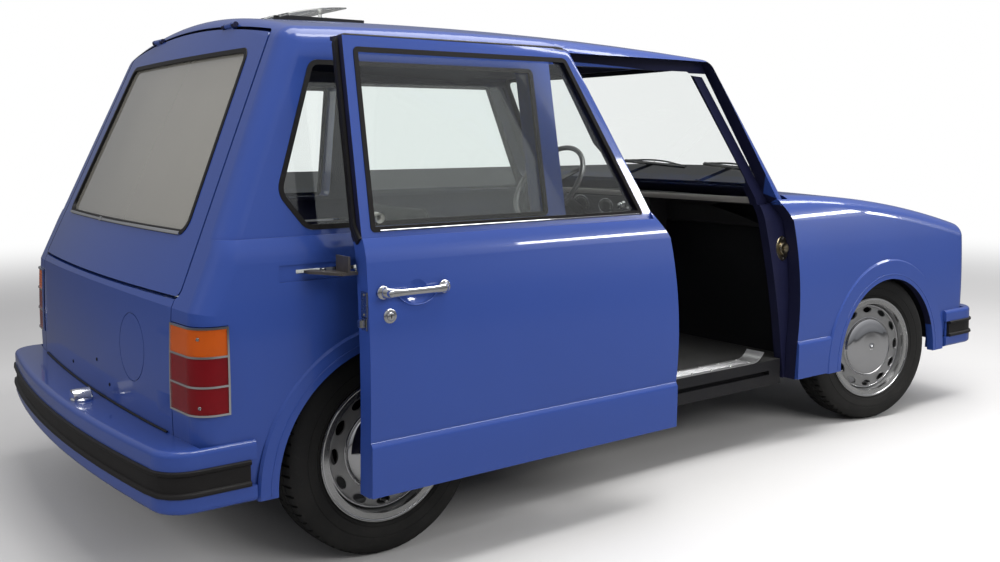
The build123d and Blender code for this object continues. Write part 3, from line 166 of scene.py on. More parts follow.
def two_coats(name, outer_material, inner_material, is_outer):
    """Gives a CAD panel its outer finish where is_outer says so, and its inner finish elsewhere."""
    mesh = coat_node(name, outer_material, inner_material)
    centres, normals = np.empty((2, len(mesh.polygons) * 3))
    mesh.polygons.foreach_get("center", centres)
    mesh.polygons.foreach_get("normal", normals)
    centres = centres.reshape(-1, 3) * 1000 + np.array((ORIGIN_X, ORIGIN_Y, 0))
    outer = is_outer(centres, normals.reshape(-1, 3))
    mesh.polygons.foreach_set("material_index", np.where(outer, 0, 1).astype(np.int32))
    mesh.update()


def skin_half(z):
    """Half the body's width at a height, along its bowed lower side and its leaning upper side."""
    upper = BELT_HALF - 0.178 * (z - BELT_Z)
    return np.where(z > 868, upper, 778 - 11 * np.clip((z - 590) / 225, 0, 1) ** 2)


def side_outside(centres, normals, depth):
    side = np.sign(centres[:, 1])
    return (normals[:, 1] * side > -0.05) & (np.abs(centres[:, 1]) > skin_half(centres[:, 2]) - depth)


def quarter_outside(centres, normals):
    beside = side_outside(centres, normals, 60) & (centres[:, 0] < 612)
    behind = (normals[:, 0] < -0.05) & (centres[:, 0] < -60)
    return beside | behind


def roof_outside(centres, normals):
    return (normals[:, 2] > 0.12) | (side_outside(centres, normals, 26) & (normals[:, 2] > -0.2))


def pillar_outside(centres, normals):
    screen = (centres[:, 0] - 1715) * 0.844 + (centres[:, 2] - 920) * 0.536
    ahead = (normals[:, 0] * 0.844 + normals[:, 2] * 0.536 > 0.25) & (screen > -95) & (centres[:, 2] > 900)
    return ahead | (side_outside(centres, normals, 28) & (centres[:, 2] > BELT_Z - 1))


def wing_outside(centres, normals):
    skin = (normals[:, 1] * np.sign(centres[:, 1]) > -0.1) & (normals[:, 2] > -0.3) | (normals[:, 2] > 0.3)
    # The wing's rear end face, turned away from the light, gets the navy painted shade.
    post = (normals[:, 0] < -0.5) & (centres[:, 0] < 1700)
    crown = (centres[:, 2] > 870) & (centres[:, 0] < 1700)
    return skin & ~post | crown


def door_outside(centres, normals):
    ledge = (centres[:, 2] > 855) & (centres[:, 2] < 892) & (normals[:, 2] > 0.3) & (np.abs(centres[:, 1]) > 700)
    rear_edge = (normals[:, 0] < -0.7) & (centres[:, 2] < 866)
    return side_outside(centres, normals, 15) | ledge | rear_edge


# Faces that a rule leaves out are drawn in the navy painted shade.
for name, rule in (
    ("quarter_panel_right", quarter_outside), ("quarter_panel_left", quarter_outside),
    ("roof_panel", roof_outside), ("pillar_frame", pillar_outside),
    ("tail_panel", lambda c, n: n[:, 0] < 0.2), ("hatch", lambda c, n: n[:, 0] < 0.2),
    ("front_panel", lambda c, n: n[:, 0] > -0.2), ("bonnet", lambda c, n: n[:, 2] > -0.1),
    ("wing_right", wing_outside), ("wing_left", wing_outside), ("door_left", door_outside),
    ("door_right", lambda c, n: door_outside(c - np.array((0, DOORS[0][2], 0)), n)),
):
    two_coats(name, paint, painted_shade_navy, rule)
coat_node("bumpers", paint)

# Glass and its rubbers
# Toughened panes, five millimetres thick, each held by a black extruded rubber that laps the
# panel. The pane of the tail hatch is smoked and backed with a warm grey film.

clear_glass = finish("clear_glass", (0.93, 0.96, 0.95), rough=0.0, tone=0.0, spots=0.0, dust=0.0, bump=0.0,
                     transmission=1.0, ior=1.45)
film_glass = finish("grey_film_glass", (0.34, 0.325, 0.285), rough=0.09, coat=0.9, tone=0.12, spots=0.03,
                    dust=0.02, scale=1.6, bump=0.004, transmission=0.25, ior=1.45)
rubber = finish("black_rubber", (0.010, 0.009, 0.009), rough=0.5, tone=0.3, spots=0.1, dust=0.12, bump=0.08,
                specular=0.25)
for name in ("windscreen_glass", "quarter_glasses", "door_glasses"):
    coat_node(name, clear_glass)
coat_node("hatch_glass", film_glass)
coat_node("window_seals", rubber)
coat_node("hatch_seal", rubber)


def at(x, y, z):
    """A place in millimetres ahead of the rear axle, left of the centre plane and above the ground."""
    return Vector(((x - ORIGIN_X) / 1000, (y - ORIGIN_Y) / 1000, z / 1000))


def joined(parts):
    """Several lists of points and faces as one."""
    verts, faces = [], []
    for more, their in parts:
        start = len(verts)
        verts += list(more)
        faces += [tuple(start + i for i in face) for face in their]
    return verts, faces


def outward(obj):
    """Merges doubles and turns every face outward."""
    work = bmesh.new()
    work.from_mesh(obj.data)
    bmesh.ops.remove_doubles(work, verts=work.verts, dist=1e-6)
    bmesh.ops.recalc_face_normals(work, faces=work.faces)
    work.to_mesh(obj.data)
    work.free()


def in_scene(name, mesh):
    obj = bpy.data.objects.new(name, mesh)
    bpy.context.scene.collection.objects.link(obj)
    return obj


def solid(name, parts, smooth):
    """An object made of closed parts, with faces turned outward and smooth below an angle."""
    verts, faces = joined(parts)
    mesh = bpy.data.meshes.new(name)
    mesh.from_pydata([tuple(v) for v in verts], [], faces)
    mesh.validate()
    obj = in_scene(name, mesh)
    outward(obj)
    mesh.shade_smooth()
    mesh.set_sharp_from_angle(angle=math.radians(smooth))
    return obj


def mounted(obj, body, replaces=None):
    """Sets a finished object on its body, and in the place of a CAD node where it has one."""
    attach(obj, body)
    if replaces:
        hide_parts(replaces)
    return obj


def piece(name, parts, material, body="van_body", smooth=40, replaces=None):
    """A finished piece of the van."""
    obj = solid(name, parts, smooth)
    obj.data.materials.append(material)
    return mounted(obj, body, replaces)


def ring_faces(rings, size, ends="open"):
    """Faces between equal rings of points that follow one another. The end rings can be joined, filled or open."""
    faces = []
    for i in range(rings if ends == "joined" else rings - 1):
        a, b = i * size, (i + 1) % rings * size
        faces += [(a + k, a + (k + 1) % size, b + (k + 1) % size, b + k) for k in range(size)]
    if ends == "filled":
        faces += [tuple(range(size)), tuple(range((rings - 1) * size, rings * size))]
    return faces


def sweep(path, section, ups, closed=False):
    """An outline carried along a path. Its first number runs across, its second along the up direction."""
    path = [Vector(p) for p in path]
    ups = [Vector(u) for u in ups] if isinstance(ups, list) else [Vector(ups)] * len(path)
    count, verts = len(path), []
    for i, point in enumerate(path):
        before = path[i - 1] if i or closed else point
        after = path[(i + 1) % count] if i < count - 1 or closed else point
        travel = (after - before).normalized()
        across = ups[i].cross(travel).normalized()
        up = travel.cross(across).normalized()
        verts += [point + across * a + up * b for a, b in section]
    return verts, ring_faces(count, len(section), "joined" if closed else "filled")


def soft_box(wide, high, bevel=0.0015):
    """A rectangle with eased corners, as the outline of a strip."""
    w, h, b = wide / 2, high / 2, bevel
    return [(-w + b, -h), (w - b, -h), (w, -h + b), (w, h - b), (w - b, h), (-w + b, h), (-w, h - b), (-w, -h + b)]


def touch(name, start, toward):
    """Where a straight line from a point first meets a CAD node, with the surface direction there."""
    hit, place, normal, _ = nodes[name].ray_cast(Vector(start), Vector(toward))
    return (place, normal) if hit else (None, None)


def touches(name, starts, toward):
    """The places of several lines that meet a CAD node."""
    found = [touch(name, start, toward) for start in starts]
    return [(place, normal) for place, normal in found if place]


# The bright strip in two lengths along the foot of the hatch pane, with a clip over their joint.
chrome = finish("bright_chrome", (0.82, 0.82, 0.83), rough=0.07, metal=1.0, tone=0.1, spots=0.25, dust=0.15,
                bump=0.006)
strip = touches("hatch_seal", [at(-900, -520 + 26 * k, 877) for k in range(41)], (1, 0, 0))
strip_path = [place + normal * 0.001 for place, normal in strip]
strip_up = [normal for _, normal in strip]
joint = len(strip) * 3 // 5
clip_path = [strip_path[joint] + Vector((0, s, 0)) for s in (-0.009, -0.004, 0.004, 0.009)]
piece("rear_window_strip", [sweep(strip_path, soft_box(0.009, 0.006), strip_up),
                            sweep(clip_path, soft_box(0.014, 0.010), strip_up[joint])],
      chrome, "hatch_body")

# Tail lamps
# Each lens is moulded in coloured plastic that wraps the corner: amber above two red parts, in a
# chromed frame held by two screws.

# Both lens finishes glow faintly though the lamps are off: a painted glow, also on the front signals.
amber_lens = finish("amber_lens", (0.50, 0.085, 0.005), rough=0.2, coat=0.3, tone=0.25, spots=0.0, dust=0.1,
                    scale=18, grain=900, bump=0.25, transmission=0.25, emission=(0.8, 0.14, 0.01, 0.06),
                    specular=0.2)
red_lens = finish("red_lens", (0.17, 0.002, 0.006), rough=0.2, coat=0.3, tone=0.4, spots=0.0, dust=0.1,
                  scale=14, grain=900, bump=0.25, transmission=0.2, emission=(0.5, 0.004, 0.008, 0.02),
                  specular=0.12)
AMBER_FROM_Z = 603
coat_node("lamp_frames", chrome)
two_coats("tail_lamps", amber_lens, red_lens, lambda c, n: c[:, 2] > AMBER_FROM_Z)
screw_steel = finish("screw_steel", (0.5, 0.5, 0.49), rough=0.25, metal=1.0, tone=0.2, spots=0.3, dust=0.2)


def turns(count, shift=0):
    """Equal turns round a circle, in radians."""
    return [2 * math.pi * (k + shift) / count for k in range(count)]


def spun(profile, centre, axis, steps=48):
    """A turned piece: pairs of height along the axis and radius, closed where the radius is nought."""
    axis = Vector(axis).normalized()
    across = axis.orthogonal().normalized()
    other = axis.cross(across)
    verts = []
    for high, radius in profile:
        for turn in turns(steps):
            spoke = across * math.cos(turn) + other * math.sin(turn)
            verts.append(Vector(centre) + axis * high + spoke * max(radius, 1e-5))
    return verts, ring_faces(len(profile), steps)


def fastener_effect():
    """Geometry Nodes tree that sets a small fastener at each given point, turned to the surface there."""
    tree = bpy.data.node_groups.new("fasteners_on_points", "GeometryNodeTree")
    for title, way, kind in (("Geometry", "INPUT", "Geometry"), ("Fastener", "INPUT", "Object"),
                             ("Finish", "INPUT", "Material"), ("Turn Seed", "INPUT", "Int"),
                             ("Geometry", "OUTPUT", "Geometry")):
        tree.interface.new_socket(title, in_out=way, socket_type="NodeSocket" + kind)
    new = tree.nodes.new
    come, go = new("NodeGroupInput").outputs, new("NodeGroupOutput")
    model, normal = new("GeometryNodeObjectInfo"), new("GeometryNodeInputNamedAttribute")
    align, spin = new("FunctionNodeAlignRotationToVector"), new("FunctionNodeRotateRotation")
    turn, chance = new("FunctionNodeAxisAngleToRotation"), new("FunctionNodeRandomValue")
    put, real, coated = (new("GeometryNodeInstanceOnPoints"), new("GeometryNodeRealizeInstances"),
                         new("GeometryNodeSetMaterial"))
    normal.data_type, chance.data_type, align.axis, spin.rotation_space = "FLOAT_VECTOR", "FLOAT", "Z", "LOCAL"
    for socket in chance.inputs:
        if socket.name == "Max" and socket.type == "VALUE":
            socket.default_value = 3.14
    angle = [s for s in chance.outputs if s.type == "VALUE"][0]
    for node, values in (
        (normal, {"Name": "outward"}), (turn, {"Axis": (0, 0, 1), "Angle": angle}),
        (model, {"Object": come["Fastener"]}), (chance, {"Seed": come["Turn Seed"]}),
        (align, {"Vector": normal.outputs["Attribute"]}),
        (spin, {"Rotation": align.outputs["Rotation"], "Rotate By": turn.outputs["Rotation"]}),
        (put, {"Points": come["Geometry"], "Instance": model.outputs["Geometry"],
               "Rotation": spin.outputs["Rotation"]}),
        (real, {"Geometry": put.outputs["Instances"]}),
        (coated, {"Geometry": real.outputs["Geometry"], "Material": come["Finish"]}),
        (go, {"Geometry": coated.outputs["Geometry"]}),
    ):
        feed_all(tree, node, values)
    return tree


fastener_tree = fastener_effect()


def screw_model(name, radius, slotted=True):
    """A small screw head, turned about Z and standing on the ground plane: slotted, or a hexagon on a washer."""
    up, r = (0, 0, 1), radius
    if slotted:
        head = spun([(-0.001, r), (r * 0.3, r), (r * 0.55, r * 0.8), (r * 0.68, r * 0.4), (r * 0.7, 0)],
                    (0, 0, 0), up, steps=16)
        groove = sweep([(r * 0.9, 0, r * 0.66), (-r * 0.9, 0, r * 0.66)], soft_box(r * 0.22, r * 0.16, r * 0.03), up)
        return solid(name, [head, groove], 35)
    washer = spun([(-0.001, r * 1.5), (r * 0.2, r * 1.5), (r * 0.25, r * 1.4), (r * 0.25, 0)], (0, 0, 0), up, steps=20)
    hexagon = spun([(r * 0.2, r), (r * 0.85, r), (r, r * 0.85), (r, 0)], (0, 0, 0), up, steps=6)
    return solid(name, [washer, hexagon], 35)


def baked(obj):
    """The mesh that an object's modifiers give. The modifiers are taken off it."""
    mesh = bpy.data.meshes.new_from_object(obj.evaluated_get(bpy.context.evaluated_depsgraph_get()))
    obj.modifiers.clear()
    return mesh


def fasteners(name, spots, model, material=screw_steel):
    """All the equal fasteners of one group, set on points with the Geometry Nodes tree and baked to one mesh."""
    mesh = bpy.data.meshes.new(name + "_points")
    mesh.from_pydata([tuple(p) for p, _ in spots], [], [])
    direction = mesh.attributes.new("outward", "FLOAT_VECTOR", "POINT")
    direction.data.foreach_set("vector", [c for _, n in spots for c in n])
    holder = in_scene(name + "_points", mesh)
    modifier = holder.modifiers.new("fasteners", "NODES")
    modifier.node_group = fastener_tree
    sockets = {item.name: item.identifier for item in fastener_tree.interface.items_tree
               if item.item_type == "SOCKET" and item.in_out == "INPUT"}
    for title, value in (("Fastener", model), ("Finish", material), ("Turn Seed", 3)):
        modifier[sockets[title]] = value
    bpy.context.view_layer.update()
    finished = baked(holder)
    bpy.data.objects.remove(holder)
    finished.name = name
    mounted(in_scene(name, finished), "van_body")


slot_screw = screw_model("slot_screw", 0.0042)
lamp_spots = []
for side in (-1, 1):
    lamp_spots += touches("tail_lamps", [at(-520, side * 900, z) for z in (648, 486)], (0, -side, 0))
fasteners("lamp_screws", lamp_spots, slot_screw)

# Tail panel fittings
# A number plate would be bolted through small holes, which have rubber plugs, and is lit by a
# small chromed lamp that stands on the bumper.

PLUG = [(-0.002, 0.005), (0.0012, 0.005), (0.0018, 0.004), (0.0010, 0.002), (0.0008, 0)]
plugs = touches("tail_panel", [at(-900, y, z) for y, z in ((-80, 492), (-190, 440), (190, 440))], (1, 0, 0))
piece("plate_hole_plugs", [spun(PLUG, place, normal, steps=16) for place, normal in plugs], rubber)

lamp_foot = touch("bumpers", at(-622, -130, 600), (0, 0, -1))[0] + Vector((0, 0, -0.001))
foot = spun([(0, 0.030), (0.005, 0.030), (0.008, 0.026), (0.010, 0.018), (0.010, 0)], lamp_foot, (0, 0, 1), steps=36)
hood_section = [(0.023 * math.cos(t), 0.006 + 0.026 * math.sin(t)) for t in (math.pi * k / 12 for k in range(13))]
hood_path = [lamp_foot + Vector((x, 0, z)) for x, z in ((0.020, 0.002), (0.004, 0.002), (-0.014, 0.002),
                                                         (-0.024, 0.001))]
hood = sweep(hood_path, hood_section + [(-0.023, 0.0), (0.023, 0.0)], (0, 0, 1))
piece("plate_lamp", [foot, hood], chrome)
lamp_glass = finish("lamp_glass", (0.9, 0.92, 0.9), rough=0.1, coat=0.5, tone=0.0, spots=0.0, dust=0.0, grain=700,
                    bump=0.3, transmission=0.8)
lens_face = spun([(-0.001, 0.017), (0.003, 0.016), (0.006, 0.010), (0.007, 0)],
                 lamp_foot + Vector((0.020, 0, 0.016)), (1, 0, 0.25), steps=24)
piece("plate_lamp_lens", [lens_face], lamp_glass)

# Bumper rubbers
# Each bumper carries a black rubber moulding, pushed into its groove, with a hollow face between
# two rolled lips. A black bead along the joint between the tail panel and the bumper's shelf is painted shade for the
# dark gap there.


def mirrored(half):
    """An outline from its right half."""
    return half + [(-a, b) for a, b in reversed(half)]


MOULDING = mirrored([(0.0323, -0.018), (0.0323, -0.004), (0.0300, 0.0), (0.0235, 0.0), (0.0205, -0.003),
                     (0.0185, -0.0075)])


def round_section(radius, sides=12):
    """A round bar's outline."""
    return [(radius * math.cos(t), radius * math.sin(t)) for t in turns(sides)]


def bumper_line(centre, ahead):
    """Points along one rubber's face round both corners, with the smoothed direction it faces there."""
    path, ups = [], []
    for degrees in range(-90, 91, 2):
        turn = math.radians(degrees)
        way = Vector((ahead * math.cos(turn), math.sin(turn), 0))
        place, normal = touch("bumper_strips", centre + way * 2.0, -way)
        if place and (not path or (place - path[-1]).length > 0.006):
            path.append(place)
            ups.append(normal)
    spans = [ups[max(0, i - 1):i + 2] for i in range(len(ups))]
    return path, [sum(span, Vector((0, 0, 0))).normalized() for span in spans]


moulded = []
for centre, ahead in ((at(-380, 0, 317.5), -1), (at(2620, 0, 317.5), 1)):
    path, ups = bumper_line(centre, ahead)
    moulded.append(sweep(path, MOULDING, ups))
piece("bumper_mouldings", moulded, rubber, smooth=50, replaces="bumper_strips")

# The black bead stands in for the shaded gap between the tail panel and the bumper's shelf: painted shade.
seam_path = []
for y in range(-600, 601, 25):
    face, _ = touch("tail_panel", at(-900, y, 410), (1, 0, 0))
    if face:
        shelf, _ = touch("bumpers", face + Vector((-0.008, 0, 0.2)), (0, 0, -1))
        if shelf:
            seam_path.append(Vector((face.x - 0.0015, face.y, shelf.z + 0.0015)))
piece("bumper_seam", [sweep(seam_path, round_section(0.0034, 10), (0, 0, 1))], rubber)

# Lower side and wheel arches
# The foot of each door and wing is pressed out in a step, level with the flares of the wheel
# arches, and each arch ends in a rolled lip. All of it is painted with the body.

STEP_ROWS = [(380, 774.2), (377, 776.8), (374, 779.0), (371, 781.6), (368, 783.3), (364, 783.8), (300, 782.2),
             (243, 780.2)]
STEP_COLUMNS = 25
HUB_Z, WHEELBASE = 287, 2230


def edge_loop(rows, columns):
    """The numbers of a grid's outer points, in order round it."""
    loop = list(range(columns)) + [i * columns + columns - 1 for i in range(1, rows)]
    loop += [(rows - 1) * columns + j for j in range(columns - 2, -1, -1)]
    return loop + [i * columns for i in range(rows - 2, 0, -1)]


def shell(front, behind, rows, columns):
    """Two equal grids of points, joined round their edge to a closed plate."""
    size, loop = rows * columns, edge_loop(rows, columns)
    quads = [(i * columns + j, i * columns + j + 1, (i + 1) * columns + j + 1, (i + 1) * columns + j)
             for i in range(rows - 1) for j in range(columns - 1)]
    sides = [(a, b, b + size, a + size) for a, b in zip(loop, loop[1:] + loop[:1])]
    return front + behind, quads + [tuple(size + n for n in reversed(q)) for q in quads] + sides


def step_skin(node, side, dy, x_from, x_to):
    """The pressed step over a panel's foot, from end to end of the flat skin at each height."""
    front, behind = [], []
    for z, out in STEP_ROWS:
        found = []
        for x in range(x_from, x_to):
            place, _ = touch(node, at(x, side * 1200, z), (0, -side, 0))
            depth = side * (place.y * 1000 + ORIGIN_Y - dy) if place else 0
            if 760 < depth < 779:
                found.append((x, depth))
        for k in range(STEP_COLUMNS):
            x = found[0][0] + (found[-1][0] - found[0][0]) * k / (STEP_COLUMNS - 1)
            front.append(at(x, side * out + dy, z))
            behind.append(at(x, side * (found[0][1] - 1.6) + dy, z))
    return shell(front, behind, len(STEP_ROWS), STEP_COLUMNS)


def arch_line(node, side, centre_x):
    """Points just inside the edge of a wheel arch, up one leg, over the wheel and down the other."""
    rays = [(Vector((-1, 0, 0)), z) for z in range(246, 320, 9)]
    rays += [(Vector((math.cos(t), 0, math.sin(t))), HUB_Z) for t in (math.radians(a) for a in range(168, 11, -3))]
    rays += [(Vector((1, 0, 0)), z) for z in range(318, 245, -9)]
    line = []
    for way, z in rays:
        for reach in range(270, 352):
            spot = at(centre_x, side * 1200, z) + way * (reach / 1000)
            if touch(node, spot, (0, -side, 0))[0]:
                line.append(Vector((spot.x, at(0, side * 783.2, 0).y, spot.z)) + way * 0.018)
                break
    return line


foot_parts, lip_parts = [], []
for side, dx, dy in DOORS:
    hand = "right" if side < 0 else "left"
    foot_parts.append(step_skin("door_" + hand, side, dy, 616 + dx, 1690 + dx))
    foot_parts.append(step_skin("wing_" + hand, side, 0, 1640, 1884))
    for node, centre_x in (("quarter_panel_" + hand, 0), ("wing_" + hand, WHEELBASE)):
        lip_parts.append(sweep(arch_line(node, side, centre_x), round_section(0.0022, 8), (0, side, 0)))
piece("pressed_side_steps", foot_parts, paint, smooth=60)
piece("arch_lips", lip_parts, paint)

# Tyres
# Radial tyres of natural rubber with carbon black: five ribs cut into blocks, a worn shoulder and
# a plain side wall with fine rings.

tyre_rubber = finish("tyre_rubber", (0.009, 0.009, 0.009), rough=0.66, tone=0.35, spots=0.15, dust=0.2, scale=16,
                     grain=500, bump=0.12, specular=0.25)
BLOCKS, GROOVE_DEEP = 64, 0.0055
BLOCK_COLUMNS = ((0.0, False), (0.20, False), (0.46, False), (0.74, False), (0.77, True), (0.96, True))
HALF_TYRE = [
    (-0.0620, 0.1785), (-0.0617, 0.1965), (-0.0655, 0.1990), (-0.0675, 0.2020), (-0.0690, 0.2050),
    (-0.0676, 0.2062), (-0.0700, 0.2080), (-0.0722, 0.2250), (-0.0725, 0.2330), (-0.0712, 0.2345),
    (-0.0724, 0.2360), (-0.0722, 0.2440), (-0.0708, 0.2580), (-0.0688, 0.2660), (-0.0640, 0.2745),
    (-0.0600, 0.2790), (-0.0560, 0.2822), (-0.0500, 0.2846), (-0.0420, 0.2855), (-0.0345, 0.2858),
    (-0.0340, 0.2790), (-0.0305, 0.2790), (-0.0300, 0.2862), (-0.0145, 0.2868), (-0.0140, 0.2795),
    (-0.0105, 0.2795), (-0.0100, 0.2869), (0.0, 0.2870),
]
TYRE_PROFILE = HALF_TYRE + [(-w, r) for w, r in reversed(HALF_TYRE[:-1])]
STEER = math.radians(-12)
UPRIGHT = Vector((0, 0, 1))


def tyre_mesh(centre, axis):
    """The tyre about its axle: every block starts and ends at a cross groove in the outer bands."""
    axis = axis.normalized()
    second = axis.cross(UPRIGHT)
    columns = [((k + part) / BLOCKS * 2 * math.pi, low) for k in range(BLOCKS) for part, low in BLOCK_COLUMNS]
    rows, count = len(TYRE_PROFILE), len(columns)
    verts, faces = [], []
    for i, (turn, low) in enumerate(columns):
        spoke = UPRIGHT * math.cos(turn) + second * math.sin(turn)
        for width, radius in TYRE_PROFILE:
            cut = low and 0.015 < abs(width) < 0.060 and radius > 0.2815
            verts.append(centre + axis * width + spoke * (radius - (GROOVE_DEEP if cut else 0)))
        a, b = i * rows, (i + 1) % count * rows
        faces += [(a + k, a + k + 1, b + k + 1, b + k) for k in range(rows - 1)]
        faces.append((a, b, b + rows - 1, a + rows - 1))
    return verts, faces


hubs = {}
for corner, x, side in (("front_right", WHEELBASE, -1), ("front_left", WHEELBASE, 1),
                        ("rear_right", 0, -1), ("rear_left", 0, 1)):
    turned, offset = STEER if x else 0, side * 110
    middle = at(x - offset * math.sin(turned), side * 555 + offset * math.cos(turned), HUB_Z)
    axle = Vector((-math.sin(turned), math.cos(turned), 0)) * side
    hubs[corner] = (middle, axle)
    piece("road_tyre_" + corner, [tyre_mesh(middle, axle)], tyre_rubber, f"wheel_{corner}_body",
          smooth=32, replaces="tyre_" + corner)

# Wheels
# Pressed steel wheels sprayed silver grey, with rolled bright flanges, vent holes with turned
# edges and a spun, chromed hub cap that clips over the wheel nuts.

wheel_silver = finish("wheel_silver", (0.40, 0.40, 0.40), rough=0.36, metal=0.75, coat=0.2, tone=0.35, spots=0.2,
                      dust=0.3, scale=20)
brake_iron = finish("brake_iron", (0.05, 0.048, 0.046), rough=0.6, metal=0.7, tone=0.4, spots=0.3, dust=0.4,
                    scale=30)
rim_bright = finish("rim_bright", (0.66, 0.66, 0.65), rough=0.2, metal=0.95, tone=0.15, spots=0.2, dust=0.1,
                    scale=20)
DRAWN_FROM = [0, 0.0985, 0.106, 0.112, 0.124, 0.137, 0.1415, 0.165, 0.168, 0.3]
DRAWN_TO = [0, 0.1120, 0.118, 0.1335, 0.1455, 0.158, 0.1615, 0.1665, 0.168, 0.3]
HOLE_REACH = 0.1455
VALVE = [(0, 0.005), (0.004, 0.005), (0.005, 0.0035), (0.022, 0.0035), (0.024, 0.0045), (0.032, 0.0045), (0.033, 0)]
CAP_KNOB = [(0.0705, 0.0085), (0.0735, 0.0085), (0.0755, 0.007), (0.0765, 0.004), (0.0768, 0)]
RINGS = ((0.0441, 0.1150, 96, 0.0026, 8), (0.0405, 0.1620, 120, 0.0032, 10), (0.0672, 0.1900, 120, 0.0026, 8))


def circle(centre, first, second, radius, count):
    return [centre + (first * math.cos(t) + second * math.sin(t)) * radius for t in turns(count)]


def drawn_wheel(corner, middle, axle):
    """The CAD wheel with its disc drawn out to the well: holes and outer edge lie further from the middle."""
    wheel = in_scene("pressed_wheel_" + corner, nodes["wheel_" + corner].data.copy())
    outward(wheel)
    mesh, middle, axle = wheel.data, np.array(middle), np.array(axle)

    def polar(items, title):
        points = np.empty(len(items) * 3)
        items.foreach_get(title, points)
        offsets = points.reshape(-1, 3) - middle
        along = offsets @ axle
        across = offsets - np.outer(along, axle)
        return along, across, np.linalg.norm(across, axis=1)

    along, across, radius = polar(mesh.vertices, "co")
    scale = np.interp(radius, DRAWN_FROM, DRAWN_TO) / np.maximum(radius, 1e-9)
    scale[(along < 0.03) & (radius < 0.143)] = 1
    mesh.vertices.foreach_set("co", (middle + np.outer(along, axle) + across * scale[:, None]).ravel())
    mesh.update()
    along, _, radius = polar(mesh.polygons, "center")
    index = np.zeros(len(mesh.polygons), np.int32)
    index[(radius < 0.112) & (along > 0.0425)] = 1
    index[(radius > 0.1705) & (along > 0.050)] = 3
    index[(radius < 0.106) & (along < 0.017)] = 2
    mesh.materials.clear()
    for material in (wheel_silver, chrome, brake_iron, rim_bright):
        mesh.materials.append(material)
    mesh.polygons.foreach_set("material_index", index)
    mesh.shade_smooth()
    mesh.set_sharp_from_angle(angle=math.radians(28))
    mounted(wheel, f"wheel_{corner}_body", "wheel_" + corner)


for corner, (middle, axle) in hubs.items():
    drawn_wheel(corner, middle, axle)
    body, second, trims = f"wheel_{corner}_body", axle.cross(UPRIGHT), []
    for turn in turns(12):
        radial = UPRIGHT * math.cos(turn) + second * math.sin(turn)
        around = axle.cross(radial)
        hole = [(0.0122 * math.cos(t), 0.0222 * math.sin(t)) for t in turns(24)]
        edge = [middle + radial * (HOLE_REACH + a) + around * b + axle * (0.0432 - a * 0.05) for a, b in hole]
        trims.append(sweep(edge, round_section(0.0015, 6), axle, closed=True))
    trims.append(spun(VALVE, middle + axle * 0.030 - UPRIGHT * HOLE_REACH, axle, steps=14))
    piece("hole_rims_" + corner, trims, wheel_silver, body)
    bright = [spun(CAP_KNOB, middle, axle, steps=24)]
    for out, radius, count, bar, sides in RINGS:
        ring = circle(middle + axle * out, UPRIGHT, second, radius, count)
        bright.append(sweep(ring, round_section(bar, sides), axle, closed=True))
    piece("cap_trim_" + corner, bright, chrome, body)

# Door furniture
# Cast and chromed pull handles with a push button at the rear end, a round key lock below, a
# rubber round the rear edge, top and front of the door, and a white knob inside for the lock.

HANDLE_Z, EDGE_OUT = 742, 1.5
GRIP_LINE = [(6, -2, 16), (8, 8, 15), (14, 18, 13), (26, 25, 11), (44, 27.5, 9.5), (70, 28, 9), (100, 28, 9),
             (130, 28, 9.2), (150, 27.5, 10), (166, 25, 12), (179, 18, 14), (186, 8, 15), (187, -2, 16)]
PAD = [(-0.001, 0.017), (0.002, 0.017), (0.004, 0.015), (0.0045, 0)]
BUTTON = [(0.022, 0.0085), (0.0335, 0.0085), (0.0355, 0.007), (0.036, 0)]
LOCK = [(-0.004, 0.0185), (0.003, 0.0185), (0.0055, 0.0165), (0.006, 0.0125), (0.0045, 0.0115), (0.0045, 0.0105),
        (0.0085, 0.0100), (0.0095, 0.0085), (0.0095, 0)]
LOCK_KNOB = [(-0.004, 0.013), (0.0, 0.013), (0.002, 0.011), (0.004, 0.0065), (0.010, 0.006), (0.012, 0.010),
             (0.015, 0.0125), (0.020, 0.0125), (0.023, 0.010), (0.0245, 0.005), (0.0248, 0)]
EDGE_RUBBER = mirrored([(0.004, -0.013), (0.0052, -0.008), (0.004, -0.003), (0.0056, 0.001), (0.0056, 0.010),
                        (0.003, 0.013)])
REAR_EDGE = [(620, z) for z in range(866, 1341, 34)] + [(620, 1350), (626, 1362), (640, 1368)]
TOP_EDGE = [(x, 1368) for x in range(680, 1321, 40)] + [(1340, 1366), (1354, 1356)]
FRONT_EDGE = [(1612 - 260 * (z - BELT_Z) / 495, z) for z in range(1330, 880, -30)]


